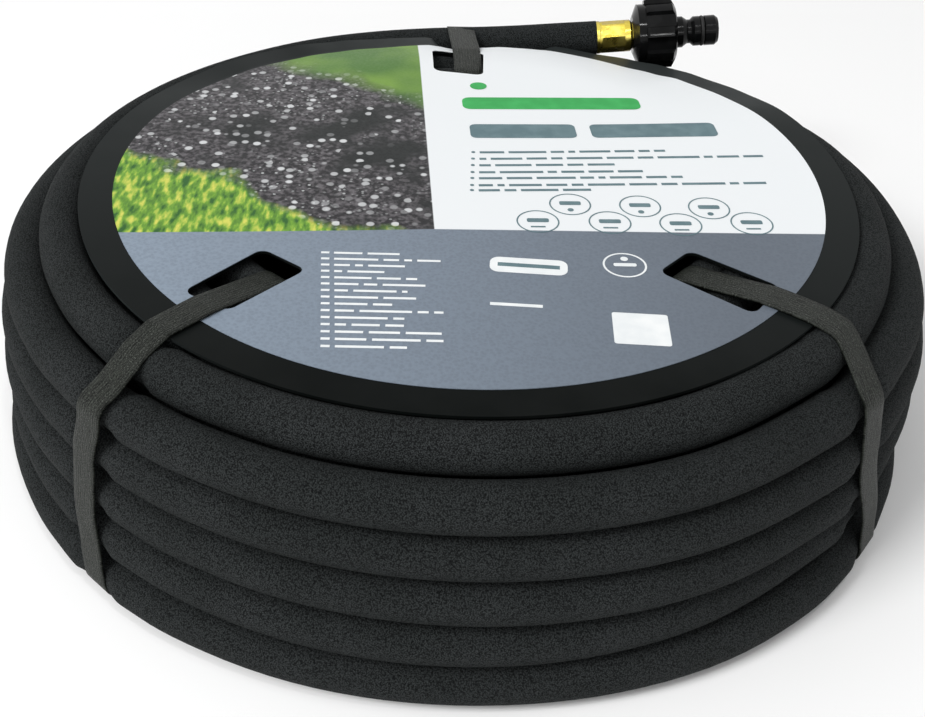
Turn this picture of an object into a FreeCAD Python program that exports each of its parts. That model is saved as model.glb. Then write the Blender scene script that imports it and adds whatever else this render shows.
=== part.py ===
import FreeCAD, Part
import Sketcher

import math
import os
import re

# Soaker hose: a 25 m porous hose wound into a round coil and held by three straps,
# with a label disc on top, a threaded coupling at the inlet end and a screw cap at the far end.
# Millimetres. +Z is up, the origin is on the floor at the middle of the coil.
# Azimuths are in degrees from +X, counter-clockwise seen from above.

SIZES = {
    # hose
    "hose_outer": 18.0,
    "hose_bore": 12.5,
    "crimped_hose": 15.2,
    # outer column of turns, stacked from the top down, and the set-back turn above it
    "outer_turns": 5,
    "first_turn_radius": 186.7,
    "turn_spread": 2.825,
    "first_turn_height": 83.4,
    "turn_pitch": 18.6,
    "top_turn_radius": 171.6,
    "top_turn_height": 95.8,
    # where one turn steps down to the next, at the back of the coil
    "step_start": 15.0,
    "step_end": 75.0,
    "dip_azimuth": 66.0,
    "dip_radius": 169.0,
    "dip_height": 76.8,
    "join_azimuth": 108.0,
    "join_bulge": 2.5,
    "tuck_start": 8.0,
    "tuck_end": 36.0,
    "tuck_radius": 181.5,
    # inner turns, as one plain ring
    "core_inner": 104.0,
    "core_foot": 189.6,
    "core_draft": 0.152,
    "core_shoulder": 82.5,
    "core_neck": 158.0,
    "core_top": 104.8,
    "core_foot_round": 3.0,
    "channel_play": 0.5,
    # label disc and the printed sheet on it
    "disc_radius": 165.0,
    "disc_shift_x": 0.8,
    "disc_shift_y": -1.5,
    "disc_thick": 1.2,
    "print_radius": 151.4,
    "print_thick": 0.3,
    "window_inner": 105.0,
    "window_outer": 146.0,
    "window_inner_width": 22.5,
    "window_outer_width": 25.5,
    "window_corner": 5.0,
    "label_azimuth": 94.7,
    "window_step": 134.0,
    # straps
    "strap_width": 14.5,
    "strap_thick": 0.8,
    "strap_play": 0.5,
    "strap_press": 2.0,
    "strap_lap": 45.0,
    "strap_left_azimuth": -130.0,
    "strap_right_azimuth": -39.5,
    "strap_back_azimuth": 93.6,
    # crimped ferrules
    "ferrule_outer": 17.0,
    "ferrule_length": 19.7,
    "ferrule_lip": 0.8,
    "ferrule_bead": 17.6,
    "crimp_depth": 0.45,
    "crimp_start": 3.0,
    "crimp_length": 12.5,
    # barbed tails
    "tail_bore": 9.5,
    "tail_insert": 16.0,
    "stem_outer": 11.8,
    "barb_outer": 12.5,
    "barb_pitch": 7.0,
    "neck_outer": 13.5,
    "swivel_flange": 23.5,
    "swivel_flange_thick": 2.2,
    # coupling nut, measured from the ferrule's open end along the fitting's axis
    "nut_back": 20.0,
    "nut_length": 23.3,
    "nut_rear_outer": 20.0,
    "nut_collar": 32.5,
    "nut_collar_length": 6.7,
    "nut_cone_length": 2.5,
    "nut_wall": 5.0,
    "lug_outer": 37.2,
    "lug_valley": 32.0,
    "lug_width": 5.6,
    "lug_chamfer": 3.8,
    "lug_chamfer_length": 2.2,
    "swivel_play": 0.08,
    "thread_outer": 26.44,
    "thread_pitch": 1.8143,
    "thread_play": 0.1,
    # flat washers
    "washer_outer": 25.6,
    "washer_bore": 14.0,
    "washer_thick": 2.5,
    # quick-connect nose
    "nose_shoulder": 16.8,
    "nose_shoulder_length": 4.2,
    "nose_neck": 12.9,
    "nose_neck_start": 7.0,
    "nose_neck_end": 8.8,
    "nose_ridge": 15.9,
    "nose_ridge_start": 10.5,
    "nose_ridge_end": 13.7,
    "groove_outer": 11.8,
    "groove_end": 16.5,
    "nose_barrel": 16.1,
    "nose_barrel_end": 22.0,
    "nose_tip": 13.6,
    "nose_length": 23.7,
    "nose_bore": 9.5,
    "ring_section": 2.2,
    # far end
    "hex_flats": 27.0,
    "hex_length": 6.0,
    "male_thread_length": 12.0,
    "cap_outer": 32.4,
    "cap_rib_outer": 34.0,
    "cap_length": 16.5,
    "cap_gap": 1.0,
    "cap_end_wall": 3.0,
}

# Routes of the two free ends: hand-picked points, from the coil outwards
INLET_ROUTE = [(0.0, 167.6, 95.4), (24.0, 169.2, 96.6), (46.0, 170.1, 98.0), (68.0, 170.7, 100.2)]
FAR_ROUTE = [
    (-112.0, 30.0, 9.7),
    (-105.0, -14.0, 10.2),
    (-82.0, -50.0, 12.0),
    (-48.0, -70.0, 14.4),
    (-6.0, -70.0, 16.8),
    (33.0, -50.0, 18.2),
]

doc = FreeCAD.newDocument("soaker_hose")
sheet = doc.addObject("Spreadsheet::Sheet", "sizes")
for row, (alias, number) in enumerate(SIZES.items(), start=1):
    sheet.set(f"A{row}", alias)
    sheet.set(f"B{row}", str(number))
    sheet.setAlias(f"B{row}", alias)
doc.recompute()

ALIAS = re.compile(r"[a-z][a-z_]+")


def bound(expression):
    """The expression with every cell name written as sizes.name, for setExpression."""
    return ALIAS.sub(lambda word: "sizes." + word.group(0) if word.group(0) in SIZES else word.group(0), expression)


def size(expression):
    """The expression's value, read from the sheet."""
    value = sheet.evalExpression(bound(expression))
    return float(getattr(value, "Value", value))


V = FreeCAD.Vector
UP = V(0, 0, 1)
parts = {}


# Helpers: sketches and bodies

def plane_of(body, role):
    return next(item for item in body.Origin.OriginFeatures if item.Role == role)


def new_body(label):
    body = doc.addObject("PartDesign::Body", label)
    body.Label = label
    parts[label] = body
    return body


def new_sketch(body, name, role="XY_Plane"):
    sketch = body.newObject("Sketcher::SketchObject", name)
    sketch.AttachmentSupport = [(plane_of(body, role), "")]
    sketch.MapMode = "FlatFace"
    return sketch


def outline(sketch, corners):
    """A closed outline of straight edges; each corner is a pair of size expressions."""
    points = [V(size(across), size(along), 0) for across, along in corners]
    count = len(points)
    for index in range(count):
        sketch.addGeometry(Part.LineSegment(points[index], points[(index + 1) % count]))
    for index in range(count):
        sketch.addConstraint(Sketcher.Constraint("Coincident", index, 2, (index + 1) % count, 1))
    for index, (across, along) in enumerate(corners):
        for kind, expression in (("DistanceX", across), ("DistanceY", along)):
            number = sketch.addConstraint(Sketcher.Constraint(kind, -1, 1, index, 1, size(expression)))
            if ALIAS.search(expression):
                sketch.setExpression(f"Constraints[{number}]", bound(expression))
    return sketch


def revolve(body, name, corners):
    """Turns an outline of (radius, height) corners about the body's own Z axis."""
    sketch = outline(new_sketch(body, name + "_outline", "XZ_Plane"), corners)
    turned = body.newObject("PartDesign::Revolution", name)
    turned.Profile = sketch
    turned.ReferenceAxis = (sketch, ["V_Axis"])
    turned.Angle = 360
    doc.recompute()
    return turned


def circle_sketch(body, name, diameter, role="XY_Plane", across="0", along="0"):
    sketch = new_sketch(body, name, role)
    sketch.addGeometry(Part.Circle(V(size(across), size(along), 0), UP, size(diameter) / 2))
    number = sketch.addConstraint(Sketcher.Constraint("Diameter", 0, size(diameter)))
    sketch.setExpression(f"Constraints[{number}]", bound(diameter))
    for kind, expression in (("DistanceX", across), ("DistanceY", along)):
        number = sketch.addConstraint(Sketcher.Constraint(kind, -1, 1, 0, 3, size(expression)))
        if ALIAS.search(expression):
            sketch.setExpression(f"Constraints[{number}]", bound(expression))
    return sketch


def lift_sketch(sketch, height):
    sketch.setExpression("AttachmentOffset.Base.z", bound(height))


def pocket(body, name, sketch, length, upward=False):
    """Cuts the sketch's outline out of the body, down or up from its plane, and checks that it cut."""
    before = body.Shape.Volume
    cut = body.newObject("PartDesign::Pocket", name)
    cut.Profile = sketch
    cut.Reversed = upward
    cut.setExpression("Length", bound(length))
    doc.recompute()
    if not cut.Shape.Volume < before - 0.01:
        raise SystemExit(f"{name} cuts nothing")
    return cut


def repeat_around(body, name, feature, count):
    ring = body.newObject("PartDesign::PolarPattern", name)
    ring.Originals = [feature]
    ring.Axis = (plane_of(body, "Z_Axis"), [""])
    ring.Angle = 360
    ring.Occurrences = count
    body.Tip = ring
    doc.recompute()
    return ring


def feature(label, shape, placement=None):
    item = doc.addObject("Part::Feature", label)
    item.Label = label
    item.Shape = shape
    if placement is not None:
        item.Placement = placement
    parts[label] = item
    return item


def polar(azimuth, radius, height):
    angle = math.radians(azimuth)
    return V(radius * math.cos(angle), radius * math.sin(angle), height)


# Helpers: tubes along a route

def run_of(start, end):
    return Part.LineSegment(start, end).toShape()


def arc_along(start, heading, end):
    """The arc that leaves start in the given direction and ends at end."""
    chord = end - start
    along = V(chord).normalize()
    bend = (V(heading).normalize() + along).normalize()
    cosine = max(-1.0, min(1.0, V(heading).normalize().dot(along)))
    middle = start + bend * (chord.Length / (2 * math.cos(math.acos(cosine) / 2)))
    return Part.Arc(start, middle, end).toShape()


def biarc(start, start_heading, end, end_heading):
    """Two arcs that meet smoothly, from one point and heading to the next."""
    gap = end - start
    headings = start_heading + end_heading
    flat = 2 * (1 - start_heading.dot(end_heading))
    projected = gap.dot(headings)
    if abs(flat) < 1e-9:
        reach = gap.dot(gap) / (2 * projected) if projected else gap.Length / 2
    else:
        reach = (-projected + math.sqrt(projected ** 2 + flat * gap.dot(gap))) / flat
    joint = (start + end + (start_heading - end_heading) * reach) * 0.5
    back = arc_along(end, end_heading * -1, joint)
    middle = back.valueAt((back.FirstParameter + back.LastParameter) / 2)
    return [arc_along(start, start_heading, joint), Part.Arc(joint, middle, end).toShape()]


def turn_heading(azimuth, climb=0.0, outward=0.0):
    angle = math.radians(azimuth)
    around = V(-math.sin(angle), math.cos(angle), 0)
    away = V(math.cos(angle), math.sin(angle), 0)
    return (around + UP * climb + away * outward).normalize()


def tube(edges, radius):
    """A round solid along the edges."""
    start = edges[0]
    heading = start.tangentAt(start.FirstParameter)
    point = start.valueAt(start.FirstParameter)
    section = Part.Wire(Part.Circle(point, heading, radius).toShape())
    return Part.Wire(edges).makePipeShell([section], True, False)


def bent_route(points, name):
    """Straight runs with a tangent arc at each point, as large as the two runs allow."""
    points = [V(*point) for point in points]
    edges = []
    radii = []
    reached = points[0]
    for before, corner, after in zip(points, points[1:], points[2:]):
        arriving = (corner - before).normalize()
        leaving = (after - corner).normalize()
        shorter = min((corner - before).Length, (after - corner).Length)
        half_turn = math.acos(max(-1.0, min(1.0, arriving.dot(leaving)))) / 2
        radii.append(0.45 * shorter / math.tan(half_turn))
        arc_start = corner - arriving * (0.45 * shorter)
        arc_end = corner + leaving * (0.45 * shorter)
        edges.append(run_of(reached, arc_start))
        edges.append(arc_along(arc_start, arriving, arc_end))
        reached = arc_end
    edges.append(run_of(reached, points[-1]))
    print(f"{name}: bend radii", [round(radius) for radius in radii], "mm")
    return edges


def length_of(edges):
    return sum(edge.Length for edge in edges)


# Winding: the set-back top turn and the outer column, one unbroken tube

def turn_radius(turn):
    return size("first_turn_radius") + size("turn_spread") * turn


def turn_height(turn):
    return size("first_turn_height") - size("turn_pitch") * turn


def winding_edges():
    """Quarter-turn biarcs; each turn steps down to the next between step_start and step_end."""
    first, second = V(*INLET_ROUTE[0]), V(*INLET_ROUTE[1])
    leaving = (first - second).normalize()
    reached = first + leaving * size("hose_outer")
    edges = [run_of(first, reached)]
    heading = leaving
    top = (size("top_turn_radius"), size("top_turn_height"))
    knots = [(195, *top, 0, 0), (285, *top, 0, 0), (360 + size("step_start"), *top, 0, 0)]
    knots.append((360 + size("dip_azimuth"), size("dip_radius"), size("dip_height"), 0, 0.02))
    knots.append((360 + size("join_azimuth"), turn_radius(0) + size("join_bulge"), turn_height(0), 0, 0))
    last = int(size("outer_turns")) - 1
    for turn in range(last + 1):
        lap = 360 * (turn + 1)
        radius, height = turn_radius(turn), turn_height(turn)
        if turn > 0:
            bulge = size("join_bulge") if turn == 1 else 0
            knots.append((lap + size("step_end"), radius + bulge, height, 0, 0))
        knots.append((lap + 175, radius, height, 0, 0))
        knots.append((lap + 275, radius, height, 0, 0))
        if turn < last:
            knots.append((lap + 360 + size("step_start"), radius, height, 0, 0))
    lap = 360 * (last + 2)
    knots.append((lap + size("tuck_start"), turn_radius(last), turn_height(last), 0, 0))
    knots.append((lap + size("tuck_end"), size("tuck_radius"), turn_height(last), 0, -0.16))
    for azimuth, radius, height, climb, outward in knots:
        point = polar(azimuth, radius, height)
        next_heading = turn_heading(azimuth, climb, outward)
        edges += biarc(reached, heading, point, next_heading)
        reached, heading = point, next_heading
    edges.append(run_of(reached, reached + heading * size("hose_outer")))
    return edges


def least_gap(edges, diameter):
    """The least gap between stretches of a tube that are over four diameters apart along it."""
    points = []
    travelled = 0.0
    for edge in edges:
        steps = max(2, int(edge.Length / 5))
        span = edge.LastParameter - edge.FirstParameter
        for step in range(steps):
            points.append((travelled + edge.Length * step / steps, edge.valueAt(edge.FirstParameter + span * step / steps)))
        travelled += edge.Length
    least = 1e9
    for index, (here, point) in enumerate(points):
        for there, other in points[index + 1:]:
            if there - here > 4 * diameter:
                least = min(least, (other - point).Length)
    return least - diameter


HOSE_RADIUS = size("hose_outer / 2")
winding = winding_edges()
gap = least_gap(winding, size("hose_outer"))
print(f"hose_outer_turns: {length_of(winding) / 1000:.2f} m of hose, least gap to itself {gap:.2f} mm")
if gap < 0.4:
    raise SystemExit("the turns come too close")
winding_tube = tube(winding, HOSE_RADIUS)

inlet_route = bent_route(INLET_ROUTE, "hose_inlet_end")
far_route = bent_route(FAR_ROUTE, "hose_far_end")


# Straps: a taut band round the coil's section, in a radial plane

def strap_corners(azimuth, upper_turns):
    """Round corners (radius, height, round) that the strap bears on, anticlockwise from the inner foot."""
    play = size("strap_play")
    bearing = HOSE_RADIUS - size("strap_press")
    shift = V(size("disc_shift_x"), size("disc_shift_y"), 0)
    rim = size("disc_radius") + shift.dot(turn_heading(azimuth - 90))
    deck = size("core_top + disc_thick")
    foot = size("strap_thick")
    last = int(size("outer_turns")) - 1
    corners = [(size("core_inner") + HOSE_RADIUS, foot + bearing, bearing)]
    corners.append((turn_radius(last) - 0.4, foot + bearing + 0.3, bearing + 0.3))
    corners += [(radius, height, bearing) for radius, height in upper_turns]
    corners.append((rim - 0.8, deck - 0.8, 0.8 + play))
    window_edge = size("window_outer") + 1.6
    corners.append((window_edge, deck + size("print_thick") - 0.8, 0.8 + play))
    corners.append((size("core_inner") + HOSE_RADIUS, size("core_top") - HOSE_RADIUS, bearing))
    return corners


def tangent_normal(corner, following):
    """The outward normal of the line that bears on two round corners."""
    (x1, z1, r1), (x2, z2, r2) = corner, following
    gap = V(x2 - x1, 0, z2 - z1)
    along = V(gap).normalize()
    outwards = V(along.z, 0, -along.x)
    lean = (r1 - r2) / gap.Length
    return along * lean + outwards * math.sqrt(1 - lean ** 2)


def bearing_corners(corners):
    """Only the corners that a taut band touches."""
    kept = list(corners)
    index = 0
    while index < len(kept):
        before, corner, after = kept[index - 1], kept[index], kept[(index + 1) % len(kept)]
        normal = tangent_normal(before, after)
        reach = normal.dot(V(before[0], 0, before[1])) + before[2]
        if normal.dot(V(corner[0], 0, corner[1])) + corner[2] < reach + 0.02:
            kept.pop(index)
            index = 0
        else:
            index += 1
    return kept


def taut_wire(corners, offset):
    """The closed outline that runs tight round the corners, moved outwards by offset."""
    touching = []
    count = len(corners)
    for index in range(count):
        corner, following = corners[index], corners[(index + 1) % count]
        normal = tangent_normal(corner, following)
        touching.append([V(x, 0, z) + normal * (r + offset) for x, z, r in (corner, following)])
    edges = []
    for index in range(count):
        start, end = touching[index]
        edges.append(run_of(start, end))
        next_start = touching[(index + 1) % count][0]
        if (next_start - end).Length > 1e-6:
            edges.append(arc_along(end, end - start, next_start))
    return Part.Wire(edges)


def band(corners, azimuth, near, far, width):
    """The space between two outlines round the corners, as wide as given, turned to its azimuth."""
    face = Part.makeFace([taut_wire(corners, far), taut_wire(corners, near)], "Part::FaceMakerBullseye")
    solid = face.extrude(V(0, width, 0))
    solid.translate(V(0, -width / 2, 0))
    solid.rotate(V(0, 0, 0), UP, azimuth)
    return solid


def clearance_frame(corners, azimuth, width):
    """All that lies outside the strap's path, to cut its seat into softer pieces."""
    reach = 260.0
    corner_points = [V(40, 0, -40), V(reach, 0, -40), V(reach, 0, 160), V(40, 0, 160), V(40, 0, -40)]
    outlines = [Part.makePolygon(corner_points), taut_wire(corners, -0.2)]
    face = Part.makeFace(outlines, "Part::FaceMakerBullseye")
    solid = face.extrude(V(0, width, 0))
    solid.translate(V(0, -width / 2, 0))
    solid.rotate(V(0, 0, 0), UP, azimuth)
    return solid


def turn_sections(azimuth):
    """Where the tube's centre line crosses the half plane at the azimuth: (radius, height) pairs."""
    side = turn_heading(azimuth)
    away = turn_heading(azimuth - 90)
    found = []
    for edge in winding:
        span = edge.LastParameter - edge.FirstParameter
        steps = 24
        for step in range(steps):
            near = edge.valueAt(edge.FirstParameter + span * step / steps)
            far = edge.valueAt(edge.FirstParameter + span * (step + 1) / steps)
            if near.dot(side) * far.dot(side) <= 0 and near.dot(away) > 0:
                found.append(((near.dot(away) + far.dot(away)) / 2, (near.z + far.z) / 2))
    return sorted(set((round(radius, 1), round(height, 1)) for radius, height in found), key=lambda item: item[1])


STRAPS = {
    "strap_left": "strap_left_azimuth",
    "strap_right": "strap_right_azimuth",
    "strap_back": "strap_back_azimuth",
}
strap_seats = []
for label, azimuth_cell in STRAPS.items():
    azimuth = size(azimuth_cell)
    sections = turn_sections(azimuth)
    print(label, "bears on turns at", sections)
    corners = bearing_corners(strap_corners(azimuth, sections[1:]))
    thick = size("strap_thick")
    width = size("strap_width")
    loop = band(corners, azimuth, 0, thick, width)
    lap = Part.makeBox(thick, width, size("strap_lap"))
    lap_radius = corners[0][0] - corners[0][2] - 2 * thick
    lap.translate(V(lap_radius, -width / 2, 30))
    lap.rotate(V(0, 0, 0), UP, azimuth)
    feature(label, loop.fuse(lap).removeSplitter())
    strap_seats.append(clearance_frame(corners, azimuth, width + 1.0))

turns_solid = winding_tube
for seat in strap_seats:
    turns_solid = turns_solid.cut(seat)
feature("hose_outer_turns", turns_solid)


# Core: the inner turns as one plain ring, with channels where the hose runs into it

def core_ring():
    body = doc.addObject("PartDesign::Body", "core_ring")
    shoulder_radius = "core_foot - core_draft * core_shoulder"
    corners = [
        ("core_inner", "0"),
        ("core_foot", "0"),
        (shoulder_radius, "core_shoulder"),
        ("core_neck", "core_shoulder"),
        ("core_neck", "core_top"),
        ("core_inner", "core_top"),
    ]
    ring = revolve(body, "core_turned", corners)
    tops = [f"Edge{number}" for number, edge in enumerate(ring.Shape.Edges, start=1)
            if edge.Closed and abs(edge.BoundBox.ZMin - size("core_top")) < 0.01
            and abs(edge.BoundBox.ZMax - size("core_top")) < 0.01]
    rounded = body.newObject("PartDesign::Fillet", "core_top_round")
    rounded.Base = (ring, tops)
    rounded.setExpression("Radius", bound("hose_outer / 2"))
    doc.recompute()
    feet = [f"Edge{number}" for number, edge in enumerate(rounded.Shape.Edges, start=1)
            if edge.Closed and abs(edge.BoundBox.ZMax) < 0.01
            and abs(edge.BoundBox.XMax - size("core_inner")) < 0.01]
    footed = body.newObject("PartDesign::Fillet", "core_foot_round")
    footed.Base = (rounded, feet)
    footed.setExpression("Radius", bound("core_foot_round"))
    doc.recompute()
    return footed


channel_radius = HOSE_RADIUS + size("channel_play")
dip_edges = winding[5:11]
tuck_edges = winding[-3:]
core = core_ring().Shape.copy()
for channel in (tube(dip_edges, channel_radius), tube(tuck_edges, channel_radius), tube(far_route[:5], channel_radius)):
    core = core.cut(channel)
for seat in strap_seats:
    core = core.cut(seat)
print("hose_core pieces before trimming:", [round(solid.Volume) for solid in core.Solids])
core = max(core.Solids, key=lambda solid: solid.Volume)
feature("hose_core", core)


# Free ends of the hose: the end is squeezed under its ferrule and bored for the tail

def fitting_axis(route):
    """Placement whose Z axis runs out of the hose's end along the fitting."""
    end, before = V(*route[-1]), V(*route[-2])
    heading = (end - before).normalize()
    return FreeCAD.Placement(end, FreeCAD.Rotation(UP, heading))


def hose_end(label, edges, placement):
    body = tube(edges, HOSE_RADIUS)
    expected = math.pi * HOSE_RADIUS ** 2 * length_of(edges)
    print(f"{label}: {length_of(edges):.0f} mm long, volume {body.Volume / expected:.4f} of section times length")
    crimped = Part.makeCylinder(size("crimped_hose / 2"), size("ferrule_length - ferrule_lip"), V(0, 0, 0), UP)
    depth = size("tail_insert") + 3
    bore = Part.makeCylinder(size("hose_bore / 2") + 0.1, depth + size("ferrule_length"), V(0, 0, -depth), UP)
    crimped.Placement = placement
    bore.Placement = placement
    feature(label, body.fuse(crimped).cut(bore).removeSplitter())


inlet_axis = fitting_axis(INLET_ROUTE)
far_axis = fitting_axis(FAR_ROUTE)
hose_end("hose_inlet_end", inlet_route, inlet_axis)
hose_end("hose_far_end", far_route, far_axis)


# Crimped ferrules: a sleeve with a bead at its mouth and eight pressed flats

def ferrule(label, placement):
    body = new_body(label)
    inside = "crimped_hose / 2 + 0.05"
    corners = [
        (inside, "0.1"),
        ("ferrule_bead / 2", "0.1"),
        ("ferrule_bead / 2", "1.6"),
        ("ferrule_outer / 2", "2.2"),
        ("ferrule_outer / 2", "ferrule_length - 1.2"),
        ("ferrule_outer / 2 - 1.2", "ferrule_length"),
        ("neck_outer / 2 + 0.1", "ferrule_length"),
        ("neck_outer / 2 + 0.1", "ferrule_length - ferrule_lip + 0.1"),
        (inside, "ferrule_length - ferrule_lip + 0.1"),
    ]
    revolve(body, label + "_sleeve", corners)
    flat = new_sketch(body, label + "_flat")
    outline(flat, [
        ("ferrule_outer / 2 - crimp_depth", "-4"),
        ("ferrule_outer / 2 + 3", "-4"),
        ("ferrule_outer / 2 + 3", "4"),
        ("ferrule_outer / 2 - crimp_depth", "4"),
    ])
    lift_sketch(flat, "crimp_start")
    pressed = pocket(body, label + "_crimp", flat, "crimp_length", upward=True)
    repeat_around(body, label + "_crimps", pressed, 8)
    body.Placement = placement


# Tails: a barbed stem inside the hose, a neck, and what the coupling bears on

def barbs():
    """Three barbs on the stem, each sloping towards the hose."""
    corners = []
    for count in range(3):
        start = f"{count} * barb_pitch - tail_insert + 1.5"
        corners += [("stem_outer / 2", start), ("barb_outer / 2", f"{start} + 4.2"), ("stem_outer / 2", f"{start} + 4.4")]
    return corners


def inlet_tail(placement):
    body = new_body("inlet_tail")
    flange_start = "nut_back + nut_wall + 0.2"
    corners = [("tail_bore / 2", "-tail_insert"), ("stem_outer / 2 - 0.5", "-tail_insert")]
    corners += barbs()
    corners += [
        ("stem_outer / 2", "ferrule_length - ferrule_lip"),
        ("neck_outer / 2", "ferrule_length - ferrule_lip + 0.1"),
        ("neck_outer / 2", flange_start),
        ("swivel_flange / 2", flange_start),
        ("swivel_flange / 2", flange_start + " + swivel_flange_thick"),
        ("tail_bore / 2", flange_start + " + swivel_flange_thick"),
    ]
    revolve(body, "inlet_tail_turned", corners)
    body.Placement = placement


def end_tail(placement):
    body = new_body("end_tail")
    hex_start = "ferrule_length + 0.5"
    hex_end = hex_start + " + hex_length"
    thread_end = hex_end + " + male_thread_length"
    corners = [("tail_bore / 2", "-tail_insert"), ("stem_outer / 2 - 0.5", "-tail_insert")]
    corners += barbs()
    corners += [
        ("stem_outer / 2", "ferrule_length - ferrule_lip"),
        ("neck_outer / 2", "ferrule_length - ferrule_lip + 0.1"),
        ("neck_outer / 2", hex_start),
        ("hex_flats / 2 + 1.9", hex_start),
        ("hex_flats / 2 + 1.9", hex_end),
        ("thread_outer / 2", hex_end),
        ("thread_outer / 2", thread_end + " - 1"),
        ("thread_outer / 2 - 1", thread_end),
        ("tail_bore / 2", thread_end),
    ]
    revolve(body, "end_tail_turned", corners)
    flat = new_sketch(body, "end_tail_flat")
    outline(flat, [
        ("hex_flats / 2", "-hex_flats"),
        ("hex_flats", "-hex_flats"),
        ("hex_flats", "hex_flats"),
        ("hex_flats / 2", "hex_flats"),
    ])
    lift_sketch(flat, hex_start + " - 0.5")
    milled = pocket(body, "end_tail_milled", flat, "hex_length + 0.49", upward=True)
    repeat_around(body, "end_tail_hex", milled, 6)
    body.Placement = placement


# Coupling nut: a lugged captive nut, swivelling on the tail's neck

def coupling_nut(placement):
    body = new_body("coupling_nut")
    front = "nut_back + nut_length"
    mouth = "thread_outer / 2 + thread_play"
    corners = [
        ("neck_outer / 2 + swivel_play", "nut_back"),
        ("nut_rear_outer / 2", "nut_back"),
        ("nut_collar / 2", "nut_back + nut_cone_length"),
        ("nut_collar / 2", "nut_back + nut_collar_length"),
        ("lug_outer / 2 - 0.4", "nut_back + nut_collar_length"),
        ("lug_outer / 2", "nut_back + nut_collar_length + 1.2"),
        ("lug_outer / 2", front + " - lug_chamfer_length"),
        ("lug_outer / 2 - lug_chamfer", front),
        (mouth, front),
        (mouth, "nut_back + nut_wall"),
        ("neck_outer / 2 + swivel_play", "nut_back + nut_wall"),
    ]
    revolve(body, "nut_turned", corners)
    half_pitch = math.tan(math.radians(22.5))
    valley = new_sketch(body, "nut_valley")
    inner = "lug_valley / 2"
    outer = "lug_outer / 2 + 2"
    inner_half = f"({half_pitch:.5f} * lug_valley / 2 - lug_width / 2 - 0.5)"
    outer_half = f"({half_pitch:.5f} * lug_outer / 2 - lug_width / 2 + 1.4)"
    outline(valley, [
        (inner, "-" + inner_half),
        (outer, "-" + outer_half),
        (outer, outer_half),
        (inner, inner_half),
    ])
    lift_sketch(valley, "nut_back + nut_collar_length")
    scooped = pocket(body, "nut_scoop", valley, "nut_length", upward=True)
    repeat_around(body, "nut_lugs", scooped, 8)
    body.Placement = placement


def washer(label, start, placement):
    body = new_body(label)
    revolve(body, label + "_turned", [
        ("washer_bore / 2", start),
        ("washer_outer / 2", start),
        ("washer_outer / 2", start + " + washer_thick"),
        ("washer_bore / 2", start + " + washer_thick"),
    ])
    body.Placement = placement


# Nose adapter: a threaded shank that screws into the nut, with a quick-connect nose

def nose_adapter(placement):
    body = new_body("nose_adapter")
    shank = "nut_back + nut_wall + 0.2 + swivel_flange_thick + washer_thick"
    face = "nut_back + nut_length"
    corners = [
        ("nose_bore / 2", shank),
        ("thread_outer / 2 - 1", shank),
        ("thread_outer / 2", shank + " + 1"),
        ("thread_outer / 2", face + " - 1"),
        ("thread_outer / 2 - 1", face),
        ("nose_shoulder / 2", face),
        ("nose_shoulder / 2", face + " + nose_shoulder_length"),
        ("nose_neck / 2", face + " + nose_neck_start"),
        ("nose_neck / 2", face + " + nose_neck_end"),
        ("nose_ridge / 2", face + " + nose_ridge_start"),
        ("nose_ridge / 2", face + " + nose_ridge_end"),
        ("groove_outer / 2", face + " + nose_ridge_end"),
        ("groove_outer / 2", face + " + groove_end"),
        ("nose_barrel / 2", face + " + groove_end"),
        ("nose_barrel / 2", face + " + nose_barrel_end"),
        ("nose_tip / 2", face + " + nose_length"),
        ("nose_bore / 2", face + " + nose_length"),
    ]
    revolve(body, "adapter_turned", corners)
    body.Placement = placement


def nose_o_ring(placement):
    body = new_body("nose_o_ring")
    middle = "nut_back + nut_length + (nose_ridge_end + groove_end) / 2"
    sketch = circle_sketch(body, "ring_section_outline", "ring_section", "XZ_Plane",
                           "(groove_outer + ring_section) / 2 + 0.05", middle)
    turned = body.newObject("PartDesign::Revolution", "ring_turned")
    turned.Profile = sketch
    turned.ReferenceAxis = (sketch, ["V_Axis"])
    turned.Angle = 360
    doc.recompute()
    body.Placement = placement


# End cap: a ribbed screw cap that closes the far end

def end_cap(placement):
    body = new_body("end_cap")
    mouth = "ferrule_length + 0.5 + hex_length + cap_gap"
    floor = "ferrule_length + 0.5 + hex_length + male_thread_length + washer_thick"
    inside = "thread_outer / 2 + thread_play"
    corners = [
        (inside, mouth),
        ("cap_outer / 2", mouth),
        ("cap_outer / 2", mouth + " + 1.5"),
        ("cap_rib_outer / 2", mouth + " + 2.2"),
        ("cap_rib_outer / 2", floor + " + cap_end_wall - 2.2"),
        ("cap_rib_outer / 2 - 2", floor + " + cap_end_wall"),
        ("0", floor + " + cap_end_wall"),
        ("0", floor),
        (inside, floor),
    ]
    revolve(body, "cap_turned", corners)
    gap = new_sketch(body, "cap_gap_outline")
    outline(gap, [
        ("cap_outer / 2", "-1.9"),
        ("cap_rib_outer / 2 + 1", "-2.3"),
        ("cap_rib_outer / 2 + 1", "2.3"),
        ("cap_outer / 2", "1.9"),
    ])
    lift_sketch(gap, mouth + " + 1.5")
    scooped = pocket(body, "cap_scoop", gap, "cap_length", upward=True)
    repeat_around(body, "cap_ribs", scooped, 16)
    body.Placement = placement


ferrule("inlet_ferrule", inlet_axis)
inlet_tail(inlet_axis)
coupling_nut(inlet_axis)
washer("inlet_washer", "nut_back + nut_wall + 0.2 + swivel_flange_thick", inlet_axis)
nose_adapter(inlet_axis)
nose_o_ring(inlet_axis)
ferrule("end_ferrule", far_axis)
end_tail(far_axis)
washer("cap_washer", "ferrule_length + 0.5 + hex_length + male_thread_length", far_axis)
end_cap(far_axis)


# Label disc: a round sheet with three strap windows, and the printed sheet on it

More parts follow.
